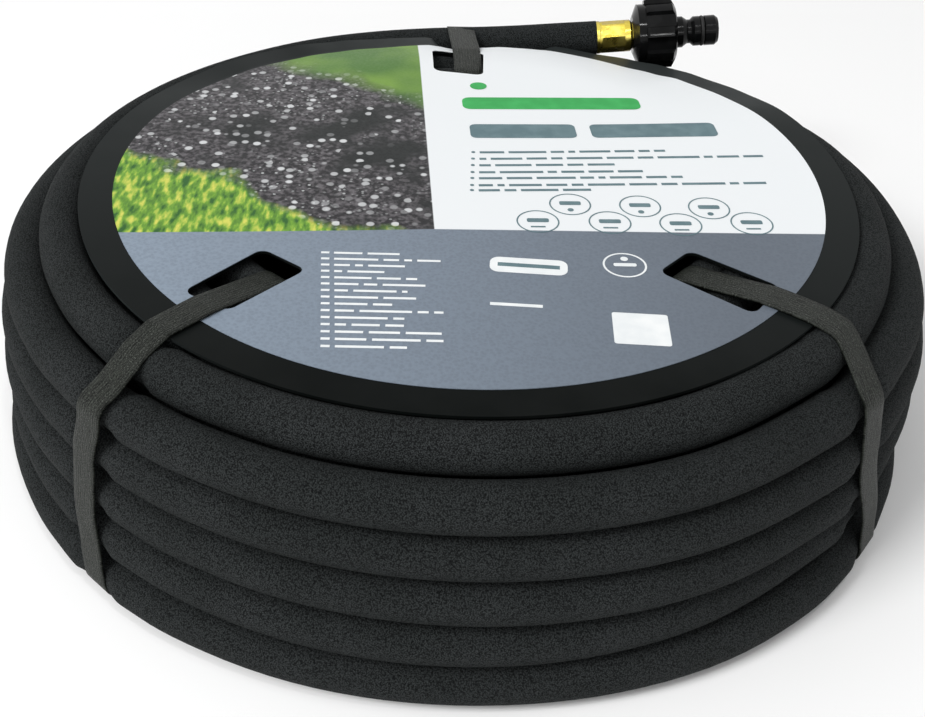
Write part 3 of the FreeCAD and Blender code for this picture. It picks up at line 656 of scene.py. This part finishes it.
def strap_rounds(strap):
    """What the strap bears on, as (radius, height, round) in the strap's plane."""
    rounds = []
    for lap in range(OUTER_LAPS - 1):
        radius, height = hose_place(strap["azimuth"] % 360 + 360 * lap)
        bearing = strap["bearings"][lap] if lap < len(strap["bearings"]) else PRESSED_ROUND
        rounds.append((radius, max(height, bearing + STRAP_UNDER), bearing))
    angle = math.radians(strap["azimuth"])
    away = Vector((math.cos(angle), math.sin(angle)))
    rim = DISC_RADIUS + away.dot(DISC_MIDDLE)
    for radius in (rim - 0.3, rim - 8, ON_DISC, strap["enters"]):
        beside = [Matrix.Rotation(math.radians(turn), 2) @ away * radius for turn in (-3, 0, 3)]
        highest = max(lie(*spot)[2] for spot in beside)
        rounds.append((radius, DECK + EDGE_ROUND + highest, EDGE_ROUND))
    return rounds + INNER_ROUNDS


# %% Taut line round the bearings
ROUND_POINTS = 48
BAND_EVERY = 4


def taut_line(rounds):
    """The hull's points, from the foot inside the coil, with its long runs divided."""
    points = []
    for radius, height, bearing in rounds:
        for step in range(ROUND_POINTS):
            turn = math.tau * step / ROUND_POINTS
            points.append((radius + bearing * math.cos(turn), height + bearing * math.sin(turn)))
    hull = [Vector(points[index]) for index in geometry.convex_hull_2d(points)]
    foot = min(range(len(hull)), key=lambda index: hull[index].x + hull[index].y)
    hull = hull[foot:] + hull[:foot]
    line = []
    for here, onwards in zip(hull, hull[1:] + hull[:1]):
        parts = max(1, round((onwards - here).length / BAND_EVERY))
        line += [here.lerp(onwards, part / parts) for part in range(parts)]
    return line


# %% Build the straps
STRIPS = 6


def widen(bm, edge_row, width):
    """Extrudes a closed row of edges into a band, strip by strip."""
    for step in range(STRIPS):
        grown = bmesh.ops.extrude_edge_only(bm, edges=edge_row)
        fresh = new_verts(grown)
        bmesh.ops.translate(bm, vec=(0, width / STRIPS, 0), verts=fresh)
        edge_row = [item for item in grown["geom"] if isinstance(item, bmesh.types.BMEdge)
                    and item.verts[0] in fresh and item.verts[1] in fresh]
    bmesh.ops.recalc_face_normals(bm, faces=bm.faces)


def build_strap(name, strap):
    line = taut_line(strap_rounds(strap))
    width = strap["width"]
    bm = bmesh.new()
    along_layer = bm.verts.layers.float.new("along")
    loop = [bm.verts.new((spot.x, -width / 2, spot.y)) for spot in line]
    travelled = 0.0
    for index, vert in enumerate(loop):
        vert[along_layer] = travelled
        travelled += (line[(index + 1) % len(line)] - line[index]).length
        bm.edges.new((vert, loop[(index + 1) % len(loop)]))
    widen(bm, bm.edges[:], width)
    across_layer = bm.verts.layers.float.new("across")
    for vert in bm.verts:
        vert[across_layer] = vert.co.y / width + 0.5
        leaning = math.radians(strap_azimuth(strap, vert.co.x, vert.co.z))
        vert.co = Matrix.Rotation(leaning, 3, "Z") @ vert.co
    piece = as_piece(name + "_band", bm)
    thickness = piece.modifiers.new("thickness", "SOLIDIFY")
    thickness.thickness = STRAP_THICK * MM
    thickness.offset = 1
    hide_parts(name)
    print(name, f"{travelled:.0f} mm round the coil")
    return piece


straps = [build_strap(name, strap) for name, strap in STRAPS.items()]

# %% [markdown]
# ## Shared effects as shader node groups
# Several finishes need the same effects: a fine grain, soft uneven patches from handling, the two
# sides of a printed edge, and a screw thread. Each is built once as a node group, instead of anew
# in every material, and placed with its own values. A group gives masks and heights only; the
# shader stays in the material, where the reader can see what drives it.

# %% Node helpers
def new_node(tree, kind, inputs=None, **settings):
    """Adds a node. Inputs that are sockets are linked, other values are set."""
    node = tree.nodes.new(kind)
    for key, value in settings.items():
        setattr(node, key, value)
    for key, value in (inputs or {}).items():
        if isinstance(value, bpy.types.NodeSocket):
            tree.links.new(value, node.inputs[key])
        else:
            node.inputs[key].default_value = value
    return node


def maths(tree, operation, first, second=0.0, third=0.0):
    """One step of arithmetic on values or sockets."""
    return new_node(tree, "ShaderNodeMath", {0: first, 1: second, 2: third}, operation=operation).outputs[0]


def times(tree, first, second):
    return maths(tree, "MULTIPLY", first, second)


def ranged(tree, value, low, high, to_low=0.0, to_high=1.0):
    node = new_node(tree, "ShaderNodeMapRange", {"Value": value, "From Min": low, "From Max": high,
                                                 "To Min": to_low, "To Max": to_high})
    return node.outputs["Result"]


def noise(tree, place, scale, detail, roughness=0.5):
    node = new_node(tree, "ShaderNodeTexNoise", {"Vector": place, "Scale": scale, "Detail": detail,
                                                 "Roughness": roughness})
    return node.outputs["Fac"]


def object_place(tree):
    return new_node(tree, "ShaderNodeTexCoord").outputs["Object"]


def parts_of(tree, vector):
    """The X, Y and Z of a vector, by name."""
    return new_node(tree, "ShaderNodeSeparateXYZ", {0: vector}).outputs


# %% Group helpers
def effect_group(name, inputs, outputs):
    """An empty group. Inputs are numbers with their first value, or None for a vector."""
    group = bpy.data.node_groups.new(name, "ShaderNodeTree")
    for socket, value in inputs.items():
        kind = "NodeSocketVector" if value is None else "NodeSocketFloat"
        made = group.interface.new_socket(socket, in_out="INPUT", socket_type=kind)
        if value is not None:
            made.default_value = value
    for socket in outputs:
        group.interface.new_socket(socket, in_out="OUTPUT", socket_type="NodeSocketFloat")
    return group, group.nodes.new("NodeGroupInput").outputs, group.nodes.new("NodeGroupOutput").inputs


def group_with(tree, group, inputs):
    return new_node(tree, "ShaderNodeGroup", inputs, node_tree=group)


# %% Fine grain
grain_group, given, result = effect_group("fine_grain", {"Grains per metre": 900.0}, ["Height", "Tone"])
tree = grain_group
where = object_place(tree)
lumps = noise(tree, where, given[0], 3.0, 0.8)
pores = new_node(tree, "ShaderNodeTexVoronoi", {"Vector": where, "Scale": given[0]}, feature="F1")
pits = ranged(tree, pores.outputs["Distance"], 0.1, 0.7)
height = maths(tree, "MULTIPLY_ADD", pits, -0.5, lumps)
tree.links.new(height, result["Height"])
tree.links.new(ranged(tree, height, -0.05, 0.42), result["Tone"])

# %% Handling patches
patch_group, given, result = effect_group("handling_patches", {"Patches per metre": 22.0}, ["Mask"])
tree = patch_group
cloud = noise(tree, object_place(tree), given[0], 4.0)
tree.links.new(ranged(tree, cloud, 0.40, 0.68), result["Mask"])

# %% Side of a printed edge
EDGE_BLUR = 0.2 * MM

edge_group, given, result = effect_group("printed_edge", {"Slope": 0.0, "Height at middle": 0.0}, ["Above"])
tree = edge_group
spot = parts_of(tree, object_place(tree))
line_height = maths(tree, "MULTIPLY_ADD", spot["X"], given["Slope"], given["Height at middle"])
gap = maths(tree, "SUBTRACT", spot["Y"], line_height)
tree.links.new(ranged(tree, gap, -EDGE_BLUR, EDGE_BLUR), result["Above"])

# %% Screw thread
PITCH = 1.8143 * MM
THREAD_INNER, THREAD_OUTER = 12.9 * MM, 13.5 * MM

thread_inputs = {"Axis place": None, "From": 0.0, "To": 0.0}
thread_group, given, result = effect_group("screw_thread", thread_inputs, ["Height", "Groove"])
tree = thread_group
spot = parts_of(tree, given["Axis place"])
angle = maths(tree, "ARCTAN2", spot["Z"], spot["Y"])
turn_share = maths(tree, "DIVIDE", angle, math.tau)
saw = maths(tree, "FRACT", maths(tree, "MULTIPLY_ADD", spot["X"], 1 / PITCH, turn_share))
ridge = maths(tree, "PINGPONG", times(tree, saw, 2.0), 1.0)
squares = [times(tree, spot[name], spot[name]) for name in "YZ"]
across_axis = maths(tree, "POWER", maths(tree, "ADD", *squares), 0.5)
on_thread = maths(tree, "GREATER_THAN", spot["X"], given["From"])
for test in (maths(tree, "LESS_THAN", spot["X"], given["To"]),
             maths(tree, "LESS_THAN", across_axis, THREAD_OUTER),
             maths(tree, "GREATER_THAN", across_axis, THREAD_INNER)):
    on_thread = times(tree, on_thread, test)
tree.links.new(times(tree, ridge, on_thread), result["Height"])
groove = times(tree, ranged(tree, ridge, 0.5, 0.0), on_thread)
tree.links.new(groove, result["Groove"])
print(len(bpy.data.node_groups), "node groups")

# %% Material helpers
def finish(name, roughness=0.5, metallic=0.0, specular=0.5):
    """A material with its Principled shader."""
    material = bpy.data.materials.new(name)
    material.use_nodes = True
    shader = material.node_tree.nodes["Principled BSDF"]
    shader.inputs["Roughness"].default_value = roughness
    shader.inputs["Metallic"].default_value = metallic
    shader.inputs["Specular IOR Level"].default_value = specular
    return material, material.node_tree, shader


def mix_colours(tree, mask, first, second):
    """Mixes two colours. Plain red, green and blue get a full alpha."""
    first, second = ((*colour, 1) if isinstance(colour, tuple) else colour for colour in (first, second))
    node = new_node(tree, "ShaderNodeMix", {0: mask, 6: first, 7: second}, data_type="RGBA")
    return node.outputs[2]


def handled(tree, patches_per_metre):
    """The mask of the handling patches."""
    return group_with(tree, patch_group, {"Patches per metre": patches_per_metre}).outputs["Mask"]


def drive(shader, socket, value):
    """Links a value that varies to one of the shader's sockets."""
    shader.id_data.links.new(value, shader.inputs[socket])


def add_bump(tree, shader, height, strength, distance):
    bump = new_node(tree, "ShaderNodeBump", {"Height": height, "Strength": strength, "Distance": distance})
    drive(shader, "Normal", bump.outputs["Normal"])


def wear(piece, material):
    """Gives a piece or a CAD node its finish, in every material slot it has."""
    slots = piece.data.materials
    if not len(slots):
        slots.append(material)
    for index in range(len(slots)):
        slots[index] = material


# %% [markdown]
# ## Porous rubber
# The hose is extruded from ground rubber, so it has no gloss at all: a dark charcoal with pores and
# lighter crumbs about a millimetre across. Pores in the mesh would need millions of faces, so one
# grain drives both the colour and a bump, and the patches make it uneven.

# %% Hose rubber
PORES = [(0.0012, 0.0018, 0.0020), (0.0022, 0.0030, 0.0032)]
CRUMBS = [(0.040, 0.046, 0.046), (0.050, 0.056, 0.057)]

hose_rubber, tree, shader = finish("porous_rubber", roughness=0.9, specular=0.15)
grain = group_with(tree, grain_group, {"Grains per metre": 1750.0})
patches = handled(tree, 30.0)
pore_dark = mix_colours(tree, patches, *PORES)
crumb_light = mix_colours(tree, patches, *CRUMBS)
drive(shader, "Base Color", mix_colours(tree, grain.outputs["Tone"], pore_dark, crumb_light))
add_bump(tree, shader, grain.outputs["Height"], 1.0, 1.0 * MM)
wear(soaker_hose, hose_rubber)

# %% [markdown]
# ## Glossy black sheet
# The disc is a smooth black plastic sheet of which only the rim shows. Its colour is painted grey
# where it is seen at a low angle, at the back of the coil: a painted sheen. A sheen on the shader would
# spread over the whole rim, so Layer Weight's facing picks out the low angle. Patches vary its gloss.

# %% Disc plastic
SHEET_BLACK = [(0.0035, 0.0045, 0.0042), (0.0055, 0.0065, 0.0062)]
SHEET_SHEEN_GREY = (0.021, 0.025, 0.025)

disc_plastic, tree, shader = finish("black_sheet", specular=0.03)
patches = handled(tree, 45.0)
facing = new_node(tree, "ShaderNodeLayerWeight", {"Blend": 0.5}).outputs["Facing"]
black = mix_colours(tree, patches, *SHEET_BLACK)
# Painted sheen: the black is mixed to a pale grey where Layer Weight finds a low angle.
painted_sheen = mix_colours(tree, ranged(tree, facing, 0.38, 0.70), black, SHEET_SHEEN_GREY)
drive(shader, "Base Color", painted_sheen)
drive(shader, "Roughness", ranged(tree, patches, 0, 1, 0.30, 0.42))
wear(disc, disc_plastic)

# %% [markdown]
# ## Printed sheet
# The sheet has three fields. The upper right is white, for the marks. The lower field is blue-grey
# with a fine leather-like grain, paler on the left. The upper left holds a plain pattern of
# bands in garden colours: soft green, dark earth with pale crumbs, and leafy green.
# An image is the usual way to print a sheet. Here nodes draw it, and straight printed edges,
# found from the object coordinates, divide the fields.

# %% Printed sheet's fields
printed_film, tree, shader = finish("printed_film", specular=0.2)
place = object_place(tree)
spot = parts_of(tree, place)
above_left = group_with(tree, edge_group, {"Slope": 0.106, "Height at middle": -50.6 * MM}).outputs["Above"]
above_right = group_with(tree, edge_group, {"Slope": 0.051, "Height at middle": -51.3 * MM}).outputs["Above"]
right_edge = maths(tree, "MULTIPLY_ADD", spot["Y"], 0.0885, 17.5 * MM)
is_right = ranged(tree, maths(tree, "ADD", spot["X"], right_edge), -EDGE_BLUR, EDGE_BLUR)
upper = new_node(tree, "ShaderNodeMix", {0: is_right, 2: above_left, 3: above_right}).outputs[0]

# %% Leafy green and soft green
LEAF_DARK, LEAF_BRIGHT, LEAF_YELLOW = (0.020, 0.100, 0.015), (0.190, 0.390, 0.040), (0.620, 0.620, 0.110)
SOFT_GREENS = [(0.070, 0.165, 0.030), (0.160, 0.290, 0.045)]

blades_place = new_node(tree, "ShaderNodeMapping", {"Vector": place, "Rotation": (0, 0, 0.9),
                                                    "Scale": (330, 110, 1)}).outputs[0]
blades = noise(tree, blades_place, 1.0, 3.0)
leafy = mix_colours(tree, ranged(tree, blades, 0.34, 0.56), LEAF_DARK, LEAF_BRIGHT)
leafy = mix_colours(tree, ranged(tree, blades, 0.52, 0.68), leafy, LEAF_YELLOW)
blur = noise(tree, place, 34.0, 1.0)
soft_green = mix_colours(tree, ranged(tree, blur, 0.35, 0.65), *SOFT_GREENS)

# %% Earth with crumbs
SOILS = [(0.014, 0.013, 0.015), (0.120, 0.112, 0.120)]
HOLLOW, SPARKLE, CRUMB = (0.006, 0.008, 0.008), (0.48, 0.50, 0.50), (0.600, 0.610, 0.620)


def scattered_dots(per_metre, edge, core, tone_low, tone_high):
    """A mask of soft round dots, one to a Voronoi cell, some paler than others."""
    cells = new_node(tree, "ShaderNodeTexVoronoi", {"Vector": place, "Scale": per_metre}, feature="F1")
    tone = new_node(tree, "ShaderNodeSeparateColor", {0: cells.outputs["Color"]}).outputs[0]
    round_dots = ranged(tree, cells.outputs["Distance"], edge, core)
    return times(tree, round_dots, ranged(tree, tone, tone_low, tone_high))


soil = mix_colours(tree, ranged(tree, noise(tree, place, 420.0, 3.0), 0.42, 0.66), *SOILS)
hollows = noise(tree, place, 24.0, 2.0)
soil = mix_colours(tree, ranged(tree, hollows, 0.50, 0.38), soil, HOLLOW)
sparkle = scattered_dots(520.0, 0.40, 0.25, 0.60, 1.0)
out_of_hollows = ranged(tree, hollows, 0.46, 0.60)
soil = mix_colours(tree, times(tree, sparkle, out_of_hollows), soil, SPARKLE)
earth = mix_colours(tree, scattered_dots(210.0, 0.42, 0.30, 0.50, 0.95), soil, CRUMB)

# %% Garden bands
sway = noise(tree, place, 26.0, 2.0)
band = maths(tree, "ADD", times(tree, spot["X"], 4.5), times(tree, spot["Y"], 8.0))
band = maths(tree, "MULTIPLY_ADD", maths(tree, "SUBTRACT", sway, 0.5), 0.5, band)
garden = mix_colours(tree, ranged(tree, band, -0.66, -0.58), leafy, earth)
garden = mix_colours(tree, ranged(tree, band, 0.36, 0.50), garden, soft_green)

# %% Put the fields together
FIELD_LEFT, FIELD_RIGHT = (0.240, 0.295, 0.365), (0.115, 0.137, 0.168)
FIELD_GRAIN = (0.09, 0.10, 0.12)
PAPER_WHITE = (0.780, 0.805, 0.820)

grain = group_with(tree, grain_group, {"Grains per metre": 650.0}).outputs
field = mix_colours(tree, ranged(tree, spot["X"], -0.13, 0.10), FIELD_LEFT, FIELD_RIGHT)
leather = mix_colours(tree, ranged(tree, grain["Tone"], 0.0, 1.0, 0.0, 0.22), field, FIELD_GRAIN)
top_fields = mix_colours(tree, is_right, garden, PAPER_WHITE)
drive(shader, "Base Color", mix_colours(tree, upper, leather, top_fields))
drive(shader, "Roughness", ranged(tree, grain["Tone"], 0, 1, 0.42, 0.52))
below = maths(tree, "SUBTRACT", 1.0, upper)
add_bump(tree, shader, times(tree, grain["Height"], below), 0.25, 0.3 * MM)
wear(printed_sheet, printed_film)
print("printed film has", len(tree.nodes), "nodes")

# %% [markdown]
# ## Inks
# Printing ink is never quite even. One flat colour would look cut out of plastic, so each ink mixes
# a thin and a thick tone by the patches.

# %% Inks
INKS = {
    "green_ink": ((0.030, 0.330, 0.075), (0.045, 0.400, 0.100), green_marks),
    "slate_ink": ((0.100, 0.165, 0.185), (0.140, 0.215, 0.235), slate_marks),
    "white_ink": ((0.760, 0.790, 0.800), (0.840, 0.860, 0.860), white_marks),
}
for name, (thin, thick, piece) in INKS.items():
    ink, tree, shader = finish(name, roughness=0.5, specular=0.2)
    drive(shader, "Base Color", mix_colours(tree, handled(tree, 120.0), thin, thick))
    wear(piece, ink)

# %% [markdown]
# ## Woven strap
# The straps are flat bands of woven plastic tape, dark olive grey. Fine threads run along the band,
# and pale flecks scattered along it are painted glints. A pattern on object coordinates would cut through the
# bends, so the two attributes of the band place the threads, and they follow every bend.

# %% Strap tape
TAPE = [(0.001, 0.002, 0.001), (0.036, 0.040, 0.034)]
PAINTED_GLINT = (0.140, 0.152, 0.135)
RIBS = 10

strap_tape, tree, shader = finish("woven_tape", roughness=0.42, specular=0.12)
across = new_node(tree, "ShaderNodeAttribute", attribute_name="across").outputs["Fac"]
along = new_node(tree, "ShaderNodeAttribute", attribute_name="along").outputs["Fac"]
band_place = new_node(tree, "ShaderNodeCombineXYZ", {"X": along, "Y": across}).outputs[0]
stretched = new_node(tree, "ShaderNodeMapping", {"Vector": band_place, "Scale": (0.16, 26.0, 1.0)}).outputs[0]
threads = noise(tree, stretched, 1.0, 3.0, 0.65)
short = new_node(tree, "ShaderNodeMapping", {"Vector": band_place, "Scale": (1.6, 22.0, 1.0)}).outputs[0]
picks = noise(tree, short, 1.0, 1.0)
ribs = maths(tree, "SINE", times(tree, across, math.tau * RIBS))
thread_and_pick = maths(tree, "ADD", threads, times(tree, picks, 0.5))
weave = maths(tree, "ADD", times(tree, ribs, 0.06), thread_and_pick)
tape = mix_colours(tree, ranged(tree, weave, 0.60, 0.92), *TAPE)
# Painted glints: pale flecks mixed into the tape's colour all along the band.
painted_glints = times(tree, ranged(tree, picks, 0.58, 0.72), 0.55)
drive(shader, "Base Color", mix_colours(tree, painted_glints, tape, PAINTED_GLINT))
add_bump(tree, shader, weave, 1.0, 1.0 * MM)
for piece in straps:
    wear(piece, strap_tape)

# %% [markdown]
# ## Brass, black plastic and rubber of the fittings
# These are the CAD nodes as they are, with finishes. The ferrules and tails are rolled brass,
# polished; their colour is painted darker where the surface faces away, a painted shade at the edges. The
# nut, the nose and the cap are glossy black moulded plastic, and the washers and the ring are soft rubber.
# Their screw threads could be swept as geometry, but they are hidden until the fitting is unscrewed, so the
# thread group draws them as a bump on the plain cylinders. A Mapping node turns the pattern onto each
# fitting's axis.

# %% Axes of the two fittings
HOSE_STARTS, HOSE_STOPS = Vector(INLET_END[0]), Vector(FAR_END[-1])
AXES = {
    "inlet": (HOSE_STARTS * MM, Vector((110, 3, 11))),
    "far": (HOSE_STOPS * MM, HOSE_STOPS - Vector(FAR_END[-2])),
}


def axis_place(tree, end):
    """Object coordinates turned so that X runs along the fitting, from the hose's end."""
    start, direction = AXES[end]
    turn = direction.to_track_quat("X", "Z").to_euler()
    inputs = {"Vector": object_place(tree), "Location": start, "Rotation": turn}
    return new_node(tree, "ShaderNodeMapping", inputs, vector_type="TEXTURE").outputs[0]


def thread_on(tree, end, low, high):
    """The screw thread between two distances from the hose's end, in millimetres."""
    inputs = {"Axis place": axis_place(tree, end), "From": low * MM, "To": high * MM}
    return group_with(tree, thread_group, inputs).outputs


# %% Brass
POLISHED = [(0.760, 0.600, 0.090), (0.900, 0.760, 0.190)]
PAINTED_EDGE_SHADE = (0.200, 0.120, 0.015)
THREAD_DULL = (0.180, 0.110, 0.020)
TAIL_THREAD = (26.2, 38.2)


def brass(name, end):
    material, tree, shader = finish(name, metallic=1.0)
    patches = handled(tree, 130.0)
    thread = thread_on(tree, end, *TAIL_THREAD)
    facing = new_node(tree, "ShaderNodeLayerWeight", {"Blend": 0.42}).outputs["Facing"]
    polished = mix_colours(tree, patches, *POLISHED)
    # Painted shade: the brass is mixed to a dark brown where Layer Weight finds it facing away.
    shaded = mix_colours(tree, ranged(tree, facing, 0.25, 0.95), polished, PAINTED_EDGE_SHADE)
    dull = mix_colours(tree, thread["Groove"], shaded, THREAD_DULL)
    drive(shader, "Base Color", dull)
    drive(shader, "Roughness", ranged(tree, patches, 0, 1, 0.24, 0.36))
    dents = maths(tree, "MULTIPLY_ADD", patches, 0.16, thread["Height"])
    add_bump(tree, shader, dents, 0.9, 0.9 * MM)
    return material


for end, nodes in {"inlet": ("inlet_ferrule", "inlet_tail"), "far": ("end_ferrule", "end_tail")}.items():
    end_brass = brass(end + "_brass", end)
    for node in nodes:
        wear(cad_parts[node], end_brass)

# %% Black plastic
MOULDED = [(0.0035, 0.0036, 0.0038), (0.0065, 0.0067, 0.0070)]


def black_plastic(name, end, low, high):
    material, tree, shader = finish(name, specular=0.12)
    grain = group_with(tree, grain_group, {"Grains per metre": 900.0})
    patches = handled(tree, 140.0)
    thread = thread_on(tree, end, low, high)
    drive(shader, "Base Color", mix_colours(tree, patches, *MOULDED))
    drive(shader, "Roughness", ranged(tree, patches, 0, 1, 0.10, 0.18))
    height = maths(tree, "MULTIPLY_ADD", grain.outputs["Height"], 0.006, thread["Height"])
    add_bump(tree, shader, height, 0.9, 0.9 * MM)
    return material


wear(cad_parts["coupling_nut"], black_plastic("nut_plastic", "inlet", 25.0, 44.0))
wear(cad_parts["nose_adapter"], black_plastic("nose_plastic", "inlet", 29.0, 42.6))
wear(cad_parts["end_cap"], black_plastic("cap_plastic", "far", 27.5, 40.6))

# %% Soft rubber
RUBBER = [(0.006, 0.006, 0.006), (0.016, 0.016, 0.016)]

soft_rubber, tree, shader = finish("soft_rubber", roughness=0.6, specular=0.3)
grain = group_with(tree, grain_group, {"Grains per metre": 2000.0}).outputs
drive(shader, "Base Color", mix_colours(tree, grain["Tone"], *RUBBER))
add_bump(tree, shader, grain["Height"], 0.2, 0.2 * MM)
for node in ("inlet_washer", "nose_o_ring", "cap_washer"):
    wear(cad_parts[node], soft_rubber)

# %% [markdown]
# ## Floor and light
# A pale floor takes the coil's soft shadow. The world is an even studio that is a little brighter
# on the left, and one soft lamp stands to the front left, because the photographed hose is brighter
# there. Together they light a level surface at about full strength, so a colour looks as written.
# More lamps could make the floor whiter, but they would bleach the object as well.
# Two small lamps are too weak to light much, but they put crisp sparks on the glossy plastic: each
# stands where the round of the nut mirrors it to the camera.
# The camera, reflections and glass see the world as plain white, which Light Path tells apart.

# %% Floor
FLOOR_PALE = [(0.945, 0.945, 0.945), (0.955, 0.955, 0.955)]
FLOOR_SIZE = 6.0

bm = bmesh.new()
bmesh.ops.create_grid(bm, x_segments=1, y_segments=1, size=FLOOR_SIZE)
floor = as_object("floor", bm)
floor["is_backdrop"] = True
pale_floor, tree, shader = finish("pale_floor", roughness=0.9, specular=0.1)
drive(shader, "Base Color", mix_colours(tree, handled(tree, 3.0), *FLOOR_PALE))
wear(floor, pale_floor)

# %% World
BRIGHTER_SIDE = (-0.80, -0.45, 0.40)
SIDE_STRENGTH, EVEN_STRENGTH = 0.54, 0.48
WHITE = (1, 1, 1, 1)

world = bpy.data.worlds.new("studio")
scene.world = world
world.use_nodes = True
tree = world.node_tree
rays = new_node(tree, "ShaderNodeLightPath").outputs
camera_or_glossy = maths(tree, "MAXIMUM", rays["Is Camera Ray"], rays["Is Glossy Ray"])
direct_view = maths(tree, "MAXIMUM", camera_or_glossy, rays["Is Transmission Ray"])
direction = new_node(tree, "ShaderNodeTexCoord").outputs["Generated"]
from_left = new_node(tree, "ShaderNodeVectorMath", {0: direction, 1: BRIGHTER_SIDE},
                     operation="DOT_PRODUCT").outputs["Value"]
studio_light = maths(tree, "MULTIPLY_ADD", from_left, SIDE_STRENGTH, EVEN_STRENGTH)
strength = new_node(tree, "ShaderNodeMix", {0: direct_view, 2: studio_light, 3: 1.0}).outputs[0]
background = tree.nodes["Background"]
background.inputs["Color"].default_value = WHITE
tree.links.new(strength, background.inputs["Strength"])

# %% Lamps
COIL_MIDDLE = (0, 0, 0)
NUT_MIDDLE = (0.10, 0.17, 0.10)
# place, aim, width in metres, watts
LAMPS = {
    "key": ((-2.90, -2.00, 3.50), COIL_MIDDLE, 1.9, 145),
    "spark_high": ((0.18, -0.47, 1.23), NUT_MIDDLE, 0.07, 1.3),
    "spark_low": ((0.27, -1.05, 0.52), NUT_MIDDLE, 0.07, 0.5),
}
for name, (place, aim, width, watts) in LAMPS.items():
    lamp_data = bpy.data.lights.new(name, "AREA")
    lamp_data.shape = "DISK"
    lamp_data.size = width
    lamp_data.energy = watts
    lamp = bpy.data.objects.new(name, lamp_data)
    lamp.location = place
    lamp.rotation_euler = (Vector(place) - Vector(aim)).to_track_quat("Z", "Y").to_euler()
    scene.collection.objects.link(lamp)
scene.view_settings.view_transform = "Standard"
print(len(LAMPS), "lamps")

# %% [markdown]
# The last step prints the box of the CAD model and the box of what is shown:
# a look that grows past its CAD model would be the wrong size.

# %% Finish
shown_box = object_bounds()
boxes = {"cad": [list(corner) for corner in cad_box], "shown": [list(corner) for corner in shown_box]}
for name, box in boxes.items():
    print(name, "box", [[round(value, 4) for value in corner] for corner in box])
